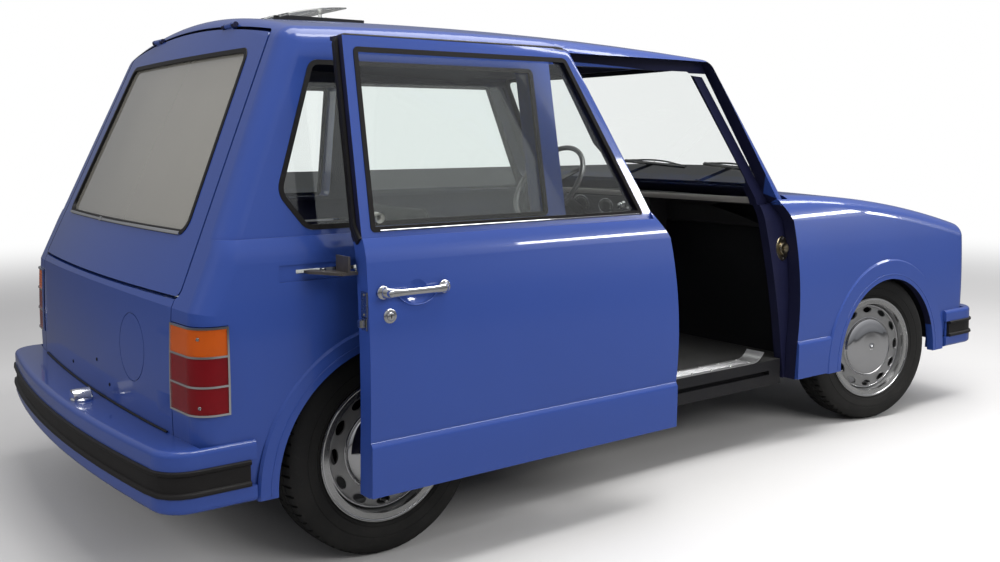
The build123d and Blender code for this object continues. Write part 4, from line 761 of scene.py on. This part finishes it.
def handle(side, dx, dy):
    """The grip as a swept bar, its two pads, its button and the lock. The second part is a black slab on the lock's
    face, painted shade for the keyhole.
    """
    start, out, way = 652 + dx, 775 + side * dy, (0, side, 0)
    verts = []
    for i, (x, reach, thick) in enumerate(GRIP_LINE):
        before, after = GRIP_LINE[max(0, i - 1)], GRIP_LINE[min(len(GRIP_LINE) - 1, i + 1)]
        travel = Vector((after[0] - before[0], (after[1] - before[1]) * side, 0)).normalized()
        normal = Vector((-travel.y, travel.x, 0)) * side
        centre = at(start + x, side * (out + reach), HANDLE_Z)
        for a, b in ((math.cos(t), math.sin(t)) for t in turns(16)):
            size = thick * (1 - 0.12 * abs(a * b)) / 1000
            verts.append(centre + normal * (a * size * 0.42) + UPRIGHT * (b * size * 0.86))
    grip = (verts, ring_faces(len(GRIP_LINE), 16, "filled"))
    pads = [spun(PAD, at(start + x, side * (out - 2), HANDLE_Z), way, steps=28) for x in (8, 185)]
    button = spun(BUTTON, at(start + 13, side * out, HANDLE_Z), way, steps=24)
    lock_at = at(start + 26, side * (out - 3), 683)
    # The keyhole is a thin black slab on the lock's face: painted shade for the slot's depth.
    keyhole = [lock_at + Vector((0, side * 0.0096, s)) for s in (-0.0045, 0.0045)]
    bright = [grip, *pads, button, spun(LOCK, lock_at, way, steps=36)]
    return bright, sweep(keyhole, soft_box(0.0022, 0.0012, 0.0004), way)


def edge_rubber(side, dx, dy):
    """The rubber that stands a little out of the door's edge, under its skin."""
    path = []
    for x, z in REAR_EDGE + TOP_EDGE + FRONT_EDGE:
        depth = float(skin_half(z)) - (34 if x < 700 or z > 1340 else 40)
        beyond = -EDGE_OUT if x <= 626 else EDGE_OUT if (x, z) in FRONT_EDGE else 0
        path.append(at(x + dx + beyond, side * depth + dy, z + (EDGE_OUT if z >= 1360 else 0)))
    return sweep(path, EDGE_RUBBER, (0, side, 0))


def scoop_lip(side, dx, dy):
    """The pressed lip under the hollow behind the handle. Its ends run out into the skin."""
    lip = []
    for k in range(29):
        t = math.radians(196 + 148 * k / 28)
        x, z = 758 + 58 * math.cos(t), HANDLE_Z + 38 * math.sin(t)
        proud = 1.0 - 2.8 * abs(k / 14 - 1) ** 4
        lip.append(at(x + dx, side * (float(skin_half(z)) + proud) + dy, z))
    return sweep(lip, round_section(0.0018, 8), (0, side, 0))


def foot_strip(side, dx, dy):
    """The bright strip along the foot of the door's pane."""
    starts = [at(x + dx, side * 1200, 889) for x in range(672, 1600, 16)]
    foot = [place + Vector((0, side * 0.0008, 0)) for place, _ in touches("window_seals", starts, (0, -side, 0))
            if abs(place.y - at(0, side * 738 + dy, 0).y) < 0.02]
    return sweep(foot, soft_box(0.0045, 0.003, 0.001), (0, side, 0))


handles, keyholes = zip(*[handle(*door) for door in DOORS])
ivory = finish("ivory_knob", (0.62, 0.6, 0.55), rough=0.25, coat=0.5, tone=0.1, spots=0.1, dust=0.05)
lock_knobs = [spun(LOCK_KNOB, at(691 + dx, side * 703 + dy, 917), (0, -side, 0.12), steps=28) for side, dx, dy in DOORS]
piece("pull_handles", sum(handles, []), chrome, smooth=50, replaces="door_handles")
piece("keyholes", keyholes, rubber)
piece("door_rubbers", [edge_rubber(*door) for door in DOORS], rubber, smooth=60)
piece("handle_scoop_lips", [scoop_lip(*door) for door in DOORS], paint)
piece("glass_foot_strips", [foot_strip(*door) for door in DOORS], chrome)
piece("lock_knobs", lock_knobs, ivory)

# Door track, arms and latches
# The rear arm is a folded steel plate on a roller in the body's track; a latch bolt and its plate
# sit on the rear edge of each door, and a turned catch on the front post takes the door's peg.

arm_steel = finish("worn_arm_steel", (0.17, 0.15, 0.13), rough=0.5, metal=0.8, tone=0.45, spots=0.45, dust=0.4,
                   scale=40)
brass = finish("dull_brass", (0.42, 0.36, 0.24), rough=0.3, metal=1.0, tone=0.3, spots=0.35, dust=0.2, scale=50)
LATCH = ((618.5, 0, (682, 700, 726, 745), soft_box(0.030, 0.003, 0.001)),
         (611, 2, (660, 664, 674, 678), soft_box(0.018, 0.016, 0.003)),
         (618.5, 0, (652, 660, 676, 684), soft_box(0.026, 0.003, 0.001)))
CATCH = [(0.0, 0.0240), (0.006, 0.0238), (0.0095, 0.0225), (0.0110, 0.0200), (0.0100, 0.0170), (0.0060, 0.0120),
         (0.0045, 0.0080), (0.0035, 0.0070), (-0.001, 0.0065), (-0.001, 0)]
CATCH_X, CATCH_Z, POST_LEAN = 1650, 714, 0.0655


def plate(base, top):
    """Two equal outlines, joined to a closed plate."""
    return base + top, ring_faces(2, len(base), "filled")


coat_node("door_track_arms", arm_steel)
hex_bolt = screw_model("hex_bolt", 0.006, slotted=False)
arm_starts = [at(x, y, 900) for x, y in ((-215, -800), (-180, -845), (-160, -872))]
arm_starts += [at(x, -780, 400) for x in (780, 800)]
fasteners("arm_bolts", touches("door_track_arms", arm_starts, (0, 0, -1)), hex_bolt)

latch_parts, latch_spots, catch_parts, catch_spots = [], [], [], []
for side, dx, dy in DOORS:
    y = side * 754 + dy
    for x, inward, levels, section in LATCH:
        latch_parts.append(sweep([at(x + dx, y - side * inward, z) for z in levels], section, (-1, 0, 0)))
    latch_spots += [(at(617 + dx, y, z), Vector((-1, 0, 0))) for z in (690, 738)]
    oval = [(34 * math.copysign(abs(math.cos(t)) ** 1.3, math.cos(t)), 46 * math.sin(t)) for t in turns(48)]
    base = [at(CATCH_X + a, side * (719.4 - b * POST_LEAN), CATCH_Z + b) for a, b in oval]
    top = [at(CATCH_X + a * 0.95, side * (723.4 - b * POST_LEAN), CATCH_Z + b * 0.96) for a, b in oval]
    catch_parts += [plate(base, top), spun(CATCH, at(CATCH_X, side * 722, CATCH_Z), (0, side, 0), steps=44)]
    catch_spots += [(at(CATCH_X, side * (723.2 - b * POST_LEAN), CATCH_Z + b), Vector((0, side, 0))) for b in (-35, 35)]
piece("door_latches", latch_parts, screw_steel)
piece("post_catches", catch_parts, brass, smooth=30, replaces="door_strikers")
small_screw = screw_model("small_screw", 0.0032)
fasteners("latch_screws", latch_spots + catch_spots, small_screw)

aluminium = finish("tread_aluminium", (0.68, 0.68, 0.68), rough=0.34, metal=0.9, tone=0.3, spots=0.4, dust=0.3,
                   scale=25, grain=120, bump=0.25)
coat_node("sill_plates", aluminium)
rivet_starts = [at(x, side * y, 600) for side in (-1, 1) for x in range(720, 1500, 96) for y in (650, 708)]
fasteners("tread_rivets", touches("sill_plates", rivet_starts, (0, 0, -1)), slot_screw)
rib_lines = [[at(x, side * y, 315.2) for x in (700, 705, 1100, 1492, 1497)] for side in (-1, 1)
             for y in range(658, 701, 7)]
piece("tread_ribs", [sweep(line, soft_box(0.0022, 0.0014, 0.0005), UPRIGHT) for line in rib_lines], aluminium)

# Floor, bay and running gear
# The floor is covered with ribbed black rubber matting; what lies under it, with the springs,
# knuckles and subframe, is brushed with black chassis paint.

matting = finish("ribbed_matting", (0.012, 0.012, 0.012), rough=0.75, tone=0.3, spots=0.2, dust=0.3, scale=18,
                 grain=320, bump=0.4)
chassis = finish("chassis_paint", (0.008, 0.008, 0.010), rough=0.55, tone=0.35, spots=0.2, dust=0.15, scale=14,
                 specular=0.3)
battery = finish("battery_case", (0.02, 0.021, 0.024), rough=0.5, tone=0.3, spots=0.2, dust=0.5)
iron = finish("motor_iron", (0.14, 0.14, 0.145), rough=0.55, metal=0.6, tone=0.4, spots=0.3, dust=0.5, scale=30,
              bump=0.3)
two_coats("floor_pan", matting, chassis, lambda c, n: (n[:, 2] > 0.3) & (c[:, 2] > 300))
for name in ("front_bay", "front_subframe", "knuckle_right", "knuckle_left", "rear_axle", "seat_frame"):
    coat_node(name, chassis)
coat_node("battery_pack", battery)
coat_node("drive_motor", iron)
MOTOR_Z, FIN_RADIUS = 420, 132
fins = []
for y in range(-150, 151, 30):
    arc = [at(WHEELBASE + FIN_RADIUS * math.sin(t), y, MOTOR_Z + FIN_RADIUS * math.cos(t))
           for t in (math.radians(a) for a in range(-100, 101, 10))]
    ups = [(p - at(WHEELBASE, y, MOTOR_Z)).normalized() for p in arc]
    fins.append(sweep(arc, soft_box(0.005, 0.012, 0.001), ups))
piece("motor_fins", fins, iron)
under_spots = [(at(x, side * 532.2, 336), Vector((0, side, 0))) for x in (-380, 380) for side in (-1, 1)]
under_spots += [(at(x, side * 398, 225), -UPRIGHT) for x in (1990, 2470) for side in (-1, 1)]
fasteners("chassis_bolts", under_spots, hex_bolt, chassis)

# Dashboard
# A padded shelf runs across under the screen, with a pale edge strip. The instrument panel in
# front of the driver has three oval dials, a bright switch knob and a small square panel.

vinyl = finish("black_vinyl", (0.016, 0.015, 0.016), rough=0.5, tone=0.25, spots=0.1, dust=0.1, scale=20,
               grain=700, bump=0.35)
pale_trim = finish("pale_trim", (0.36, 0.34, 0.32), rough=0.4, tone=0.2, spots=0.2, dust=0.1)
panel_grey = finish("panel_grey", (0.06, 0.058, 0.062), rough=0.45, tone=0.25, spots=0.1, dust=0.1, grain=600,
                    bump=0.2)
dial_face = finish("dial_face", (0.01, 0.01, 0.011), rough=0.12, coat=1.0, tone=0.1, spots=0.0, dust=0.02)
white_mark = finish("dial_marks", (0.7, 0.7, 0.66), rough=0.5, tone=0.1, spots=0.0, dust=0.0)
EDGE_STRIP = [(-0.011, -0.004), (0.011, -0.004), (0.011, 0.001), (0.008, 0.0035), (0.0, 0.005), (-0.008, 0.0035),
              (-0.011, 0.001)]
SWITCH_KNOB = ((0.0, 1.25), (0.003, 1.25), (0.004, 0.6), (0.012, 0.55), (0.014, 0.9), (0.022, 1), (0.026, 0.85),
               (0.028, 0.5), (0.0283, 0))
DIALS = ((170, 44, 31, 36, 24), (330, 52, 40, 44, 32), (470, 30, 30, 23, 23))
DIAL_Z, FACING = 825, (-1, 0, 0)

coat_node("dashboard", vinyl)
shelf_edge = [at(1592.5, y, 885) for y in range(-630, 631, 60)]
piece("dash_edge_strip", [sweep(shelf_edge, EDGE_STRIP, FACING)], pale_trim)


def panel_x(z):
    """How far forward the instrument panel's face lies at a height."""
    return 1604 + (880 - z) * 8 / 120 if z > 760 else 1612 + (760 - z) * 28 / 70


def panel_plate(name, y0, y1, z0, z1, thick, material, corner=8, draft=0.8):
    """A thin plate with eased corners on the face of the instrument panel, a little smaller in front."""
    line = []
    for y, z, first in ((y1 - corner, z1 - corner, 0), (y0 + corner, z1 - corner, 90),
                        (y0 + corner, z0 + corner, 180), (y1 - corner, z0 + corner, 270)):
        for t in (math.radians(first + 22.5 * k) for k in range(5)):
            line.append((y + corner * math.cos(t), z + corner * math.sin(t)))
    back = [at(panel_x(z) + 2, y, z) for y, z in line]
    fore = [at(panel_x(z) - thick, y + math.copysign(draft, y0 + y1 - 2 * y), z + math.copysign(draft, z0 + z1 - 2 * z))
            for y, z in line]
    piece(name, [plate(back, fore)], material)


def on_dial(y, wide, high, t, ahead):
    """A point of an upright oval on the instrument panel."""
    return at(panel_x(DIAL_Z) - ahead, y + wide * math.cos(t), DIAL_Z + high * math.sin(t))


panel_plate("instrument_plate", -92, 622, 775, 868, 2.5, panel_grey)
panel_plate("switch_plate", -70, 0, 790, 856, 4.5, vinyl)
bright, glasses, marks = [], [], []
for y, wide, high, mark_wide, mark_high in DIALS:
    ring = [on_dial(y, wide, high, t, 4) for t in turns(64)]
    bright.append(sweep(ring, round_section(0.0026, 10), FACING, closed=True))
    rim = [on_dial(y, wide - 1, high - 1, t, 3.2) for t in turns(48)]
    dome = [on_dial(y, (wide - 1) * 0.6, (high - 1) * 0.6, t, 5.6) for t in turns(48)]
    glasses.append(([p + Vector((0.003, 0, 0)) for p in rim] + rim + dome, ring_faces(3, 48, "filled")))
    for t in (math.radians(210 - 24 * k) for k in range(11)):
        line = [on_dial(y, mark_wide * part, mark_high * part, t, ahead) for part, ahead in ((0.82, 5.3), (0.98, 4.8))]
        marks.append(sweep(line, soft_box(0.0012, 0.0010, 0.0003), FACING))
for y, z, radius in ((60, 832, 15), (12, 822, 9), (-36, 838, 7), (-36, 806, 7)):
    profile = [(high, radius * share / 1000) for high, share in SWITCH_KNOB]
    bright.append(spun(profile, at(panel_x(z) - 2.5, y, z), FACING, steps=28))
piece("dial_rims_and_knobs", bright, chrome)
piece("dial_glasses", glasses, dial_face)
piece("dial_marks", marks, white_mark)

# Steering wheel
# A thin rim moulded in dark grey plastic over steel, with three flat spokes and a plain pad.
# Short ribs under the rim give the fingers a hold.

wheel_plastic = finish("wheel_plastic", (0.035, 0.034, 0.036), rough=0.3, coat=0.4, tone=0.2, spots=0.15, dust=0.1,
                       grain=500, bump=0.1)
coat_node("steering_wheel", wheel_plastic)
coat_node("steering_column", vinyl)
rake = math.radians(35)
column_up, level, hub_at = Vector((-math.cos(rake), 0, math.sin(rake))), Vector((0, 1, 0)), at(1420, 330, 920)
HORN_PAD = [(0.005, 0.036), (0.009, 0.036), (0.013, 0.031), (0.015, 0.020), (0.0155, 0)]
held = [spun(HORN_PAD, hub_at, column_up, steps=40)]
for t in turns(72, 0.5):
    spoke = level * math.cos(t) + column_up.cross(level) * math.sin(t)
    around = column_up.cross(spoke) * 0.0042
    under = hub_at + spoke * 0.185 - column_up * 0.0085
    held.append(sweep([under - around, under + around], soft_box(0.007, 0.009, 0.002), column_up))
piece("steering_pad_and_grips", held, vinyl, "steering_wheel_body")

# Seat
# Foam cushions in a dark woven cover, sewn with piping and laced to the steel frame. Pressure
# from inside, by cloth simulation, gives the cover its swell.

cloth = finish("seat_cloth", (0.022, 0.022, 0.025), rough=0.85, tone=0.3, spots=0.15, dust=0.1, scale=22,
               grain=900, bump=0.6)


def padded_piece(node, name, limit):
    """A cushion blown up from the CAD solid with cloth simulation, kept within its room."""
    obj = in_scene(name, nodes[node].data.copy())
    mesh = obj.data
    mesh.materials.clear()
    outward(obj)
    middle = sum((Vector(v.co) for v in mesh.vertices), Vector()) / len(mesh.vertices)
    for vertex in mesh.vertices:
        vertex.co = middle + (vertex.co - middle) * 0.965
    remesh = obj.modifiers.new("even", "REMESH")
    remesh.mode = "VOXEL"
    remesh.voxel_size = 0.0058
    even = obj.data = baked(obj)
    rest = np.array([v.co[:] for v in even.vertices])
    blow = obj.modifiers.new("blow", "CLOTH").settings
    blow.use_pressure = True
    blow.uniform_pressure_force = 4
    blow.quality = 4
    blow.tension_stiffness = 18
    blow.bending_stiffness = 0.6
    blow.effector_weights.gravity = 0
    for step in range(1, 15):
        bpy.context.scene.frame_set(step)
    moved = np.array([v.co[:] for v in baked(obj).vertices]) - rest
    far = np.linalg.norm(moved, axis=1)
    rest = rest + moved * np.minimum(1, limit / np.maximum(far, 1e-9))[:, None]
    bpy.context.scene.frame_set(1)
    even.vertices.foreach_set("co", rest.ravel())
    even.update()
    smoother = obj.modifiers.new("ease", "CORRECTIVE_SMOOTH")
    smoother.use_only_smooth = True
    smoother.iterations = 6
    obj.data = baked(obj)
    obj.data.materials.append(cloth)
    obj.data.shade_smooth()
    mounted(obj, "van_body", node)
    return obj


def piping(cushion, centre, first, second):
    """The piping round a cushion where its cover is sewn, found by looking in at it from all round."""
    line, ways = [], []
    for t in turns(120):
        way = (Vector(first) * math.cos(t) + Vector(second) * math.sin(t)).normalized()
        hit, place, _, _ = cushion.ray_cast(centre + way * 0.6, -way)
        if hit:
            line.append(place)
            ways.append(way)
    return sweep(line, round_section(0.0035, 8), ways, closed=True)


cushion = padded_piece("seat_cushion", "seat_cushion_pad", 0.012)
back = padded_piece("seat_back", "seat_back_pad", 0.010)
seams = [piping(cushion, at(1010, 330, 480) + UPRIGHT * up, (1, 0, 0), (0, 1, 0)) for up in (-0.028, 0.030)]
lean = math.radians(-12)
back_up, back_fore = Vector((math.sin(lean), 0, math.cos(lean))), Vector((math.cos(lean), 0, -math.sin(lean)))
seams.append(piping(back, at(727, 330, 450) + back_up * 0.21 + back_fore * 0.024, back_up, (0, 1, 0)))
piece("seat_piping", seams, vinyl)

# Wipers
# Black painted arms on knurled spindles, each with a rubber blade in a carrier under a raised
# bridge. They are parked nearly level, above the cowl.

wiper_black = finish("wiper_black", (0.012, 0.012, 0.012), rough=0.35, tone=0.2, spots=0.1, dust=0.1)
coat_node("wipers", wiper_black)
turn = math.radians(32.4)
screen_out = Vector((math.cos(turn), 0, math.sin(turn)))
screen_up = Vector((-math.sin(turn), 0, math.cos(turn)))
SCREEN_BOW = 4450
SPINDLE = [(0.0, 0.013), (0.008, 0.013), (0.010, 0.011), (0.014, 0.009), (0.018, 0.008), (0.019, 0)]


def on_blade(blade, t, proud):
    """A point between a blade's ends, each given sideways and up the glass, that stands off the bowed screen."""
    near, near_up, far, far_up = blade
    y, up = near + (far - near) * t, near_up + (far_up - near_up) * t
    sag = SCREEN_BOW - math.sqrt(SCREEN_BOW ** 2 - y ** 2)
    return at(1715, y, 920) + screen_up * (up / 1000) + screen_out * ((proud - sag) / 1000)


wiper_parts = []
for pivot, *blade in ((269, 110, 112, -230, 92), (-221, -345, 114, -650, 108)):
    bridge = [on_blade(blade, 0.14 + 0.72 * k / 20, 17 + 13 * math.sin(math.pi * k / 20) ** 0.8) for k in range(21)]
    wiper_parts.append(sweep(bridge, soft_box(0.007, 0.004, 0.001), screen_out))
    for start, end in ((0.03, 0.30), (0.70, 0.97)):
        claw = [on_blade(blade, start + (end - start) * k / 8, 10 + 8 * math.sin(math.pi * k / 8)) for k in range(9)]
        wiper_parts.append(sweep(claw, soft_box(0.009, 0.003, 0.0008), screen_out))
    wiper_parts.append(spun(SPINDLE, at(1748, pivot, 932 - pivot * pivot / 28000), UPRIGHT, steps=24))
piece("wiper_bridges", wiper_parts, wiper_black)

# Roof vent
# A clear moulded lid, hinged at its rear, stands over a pressed black frame. The frame is
# screwed to the roof.

clear_plastic = finish("clear_lid_plastic", (0.86, 0.87, 0.84), rough=0.06, tone=0.05, spots=0.1, dust=0.05,
                       bump=0.02, transmission=0.9, ior=1.42)
coat_node("roof_vent_lid", clear_plastic)
coat_node("roof_vent_frame", wiper_black)
vent_starts = [at(x, y, 1600) for x in (16, 139, 262) for y in (-142, 142)]
fasteners("vent_screws", touches("roof_vent_frame", vent_starts, (0, 0, -1)), small_screw)

# Front face
# Rectangular headlamps with a fluted glass in a chromed rim, amber signals below, and a black
# moulded grille between them.

lens_glass = finish("headlamp_lens", (0.92, 0.94, 0.94), rough=0.04, tone=0.0, spots=0.0, dust=0.0, grain=60,
                    bump=0.2, transmission=1.0, ior=1.46)
mirror_metal = finish("reflector", (0.9, 0.9, 0.9), rough=0.1, metal=1.0, tone=0.05, spots=0.05, dust=0.0)
LAMP_Y, LAMP_Z, LAMP_HALF_Y, LAMP_HALF_Z = 520, 596, 104, 73
ACROSS, UPWARD = 49, 17
BULB = [(0, 0.010), (0.006, 0.010), (0.009, 0.008), (0.018, 0.007), (0.021, 0.004), (0.022, 0)]
coat_node("grille", wiper_black)
coat_node("front_signals", amber_lens)
glasses, bowls, rims = [], [], []
for side in (-1, 1):
    front, behind, bowl = [], [], []
    for i in range(ACROSS):
        for j in range(UPWARD):
            u, v = 2 * i / (ACROSS - 1) - 1, 2 * j / (UPWARD - 1) - 1
            start = at(3200, side * LAMP_Y + LAMP_HALF_Y * u, LAMP_Z + LAMP_HALF_Z * v)
            place, _ = touch("headlamps", start, (-1, 0, 0))
            flute = 0.0008 * (1 - abs((i % 4) - 2) / 2)
            deep = 0.036 * (1 - max(abs(u), abs(v)) ** 2.2)
            front.append(place + Vector((-0.001 + flute, 0, 0)))
            behind.append(place + Vector((-0.005, 0, 0)))
            bowl.append(place + Vector((-0.0065 - deep, 0, 0)))
    glasses.append(shell(front, behind, ACROSS, UPWARD))
    bowls.append(shell(bowl, [p + Vector((-0.001, 0, 0)) for p in bowl], ACROSS, UPWARD))
    bulb_at = touch("headlamps", at(3200, side * LAMP_Y, LAMP_Z), (-1, 0, 0))[0] + Vector((-0.040, 0, 0))
    bowls.append(spun(BULB, bulb_at, (1, 0, 0), steps=20))
    edge = [front[n] + Vector((0.001, 0, 0)) for n in edge_loop(ACROSS, UPWARD)]
    rims.append(sweep(edge, soft_box(0.006, 0.007, 0.002), (1, 0, 0), closed=True))
piece("headlamp_lenses", glasses, lens_glass, smooth=20, replaces="headlamps")
piece("headlamp_bowls", bowls, mirror_metal)
piece("headlamp_rims", rims, chrome)
for model in (slot_screw, hex_bolt, small_screw):
    bpy.data.objects.remove(model)

# Room, light and camera
# A pale studio floor under a white sky. Only what the camera sees directly or through glass is
# white: the paint reflects a softer, greyer room with broad lights above.

floor_material = finish("studio_floor", (0.62, 0.61, 0.6), rough=0.55, tone=0.06, spots=0.0, dust=0.0, scale=1.2,
                        grain=90, bump=0.02)
floor_mesh = bpy.data.meshes.new("studio_floor")
floor_mesh.from_pydata([(-30, -30, 0), (30, -30, 0), (30, 30, 0), (-30, 30, 0)], [], [(0, 1, 2, 3)])
floor_mesh.materials.append(floor_material)
in_scene("studio_floor", floor_mesh)


def faded(tree, share, first, second):
    """One shader that gives way to another."""
    return feed_all(tree, tree.nodes.new("ShaderNodeMixShader"), {0: share, 1: first, 2: second}).outputs[0]


# Far from the van the camera sees the floor turn into the white sky. The paint sees a darker floor.
tree = floor_material.node_tree
new = tree.nodes.new
seen, far = new("ShaderNodeLightPath").outputs, new("ShaderNodeVectorMath")
far.operation = "LENGTH"
feed_all(tree, far, {0: new("ShaderNodeTexCoord").outputs["Object"]})
to_white = maths(tree, "MULTIPLY", ranged(tree, far.outputs["Value"], 3.4, 9.5, 0.0, 1.0, "SMOOTHERSTEP"),
                 seen["Is Camera Ray"])
to_dark = maths(tree, "MULTIPLY", seen["Is Glossy Ray"], 0.85)
dark = feed_all(tree, new("ShaderNodeBsdfDiffuse"), {"Color": (0.08, 0.08, 0.08, 1)})
ground = faded(tree, to_dark, tree.nodes["Principled BSDF"].outputs[0], dark.outputs[0])
feed_all(tree, tree.nodes["Material Output"],
         {"Surface": faded(tree, to_white, ground, new("ShaderNodeEmission").outputs[0])})

world = bpy.data.worlds.new("studio")
bpy.context.scene.world = world
world.use_nodes = True
tree = world.node_tree
tree.nodes.clear()
new = tree.nodes.new
split = feed_all(tree, new("ShaderNodeSeparateXYZ"), {0: new("ShaderNodeTexCoord").outputs["Generated"]})
ramp = feed_all(tree, new("ShaderNodeValToRGB"), {"Fac": split.outputs["Z"]})
low, high = ramp.color_ramp.elements
low.position, low.color = 0.0, (0.30, 0.31, 0.33, 1)
high.position, high.color = 0.75, (0.95, 0.96, 1.0, 1)
room = feed_all(tree, new("ShaderNodeBackground"), {"Color": ramp.outputs["Color"], "Strength": 0.5})
white = feed_all(tree, new("ShaderNodeBackground"), {"Color": (1, 1, 1, 1)})
seen = new("ShaderNodeLightPath").outputs
direct = maths(tree, "MAXIMUM", seen["Is Camera Ray"], seen["Is Transmission Ray"])
feed_all(tree, new("ShaderNodeOutputWorld"), {"Surface": faded(tree, direct, room.outputs[0], white.outputs[0])})


def softbox(name, place, target, wide, high, power, mirrored=True, lights=True):
    """A rectangular studio light that looks at a point. It can leave out its mirror image, or its diffuse light."""
    light = bpy.data.lights.new(name, "AREA")
    light.shape = "RECTANGLE"
    light.size, light.size_y, light.energy = wide, high, power
    lamp = in_scene(name, light)
    lamp.location = place
    lamp.rotation_euler = (Vector(target) - Vector(place)).to_track_quat("-Z", "Y").to_euler()
    lamp.visible_glossy = lamp.visible_transmission = mirrored
    lamp.visible_diffuse = lights
    return lamp


softbox("overhead_light", (0.0, -0.4, 4.8), (0, 0, 0), 5.0, 2.2, 155)
softbox("right_light", (0.5, -5.6, 3.2), (0, 0, 0.8), 4.5, 1.6, 175, mirrored=False)
softbox("rear_light", (-5.4, -0.4, 2.8), (0, 0, 0.8), 3.0, 1.8, 80, mirrored=False)
softbox("shoulder_strip", (2.4, -1.7, 3.9), (2.4, -0.75, 0.9), 7.0, 0.7, 170)

# A low, tilted strip draws the bright line along the shoulder of the doors. It is kept out of the panes.
line_strip = softbox("door_line_strip", (4.6, -4.7, 2.12), (0, -0.87, 0.85), 3.8, 0.5, 210, lights=False)
tilt = Matrix.Rotation(math.radians(-14.6), 3, "Z")
line_strip.rotation_euler = (line_strip.rotation_euler.to_matrix() @ tilt).to_euler()
painted_sides = bpy.data.collections.new("painted_sides")
for name in ("door_right", "door_left", "quarter_panel_right", "quarter_panel_left", "wing_right", "wing_left"):
    painted_sides.objects.link(nodes[name])
line_strip.light_linking.receiver_collection = painted_sides

SENSOR_MM, FOCAL_PIXELS, WIDTH_PIXELS = 36, 1033.523, 1000
camera_data = bpy.data.cameras.new("camera")
camera_data.sensor_width = SENSOR_MM
camera_data.lens = SENSOR_MM * FOCAL_PIXELS / WIDTH_PIXELS
camera_data.shift_x, camera_data.shift_y = -0.0005, -0.0763
right = Vector((0.80369618, -0.59502436, -0.00429745))
up = Vector((0.04133508, 0.04862349, 0.99796151))
fore = Vector((0.59360245, 0.80223548, -0.06367389))
camera = in_scene("camera", camera_data)
camera.matrix_world = (Matrix.Translation(at(-1368.492, -3095.133, 1111.978))
                       @ Matrix((right, up, -fore)).transposed().to_4x4())
bpy.context.scene.camera = camera
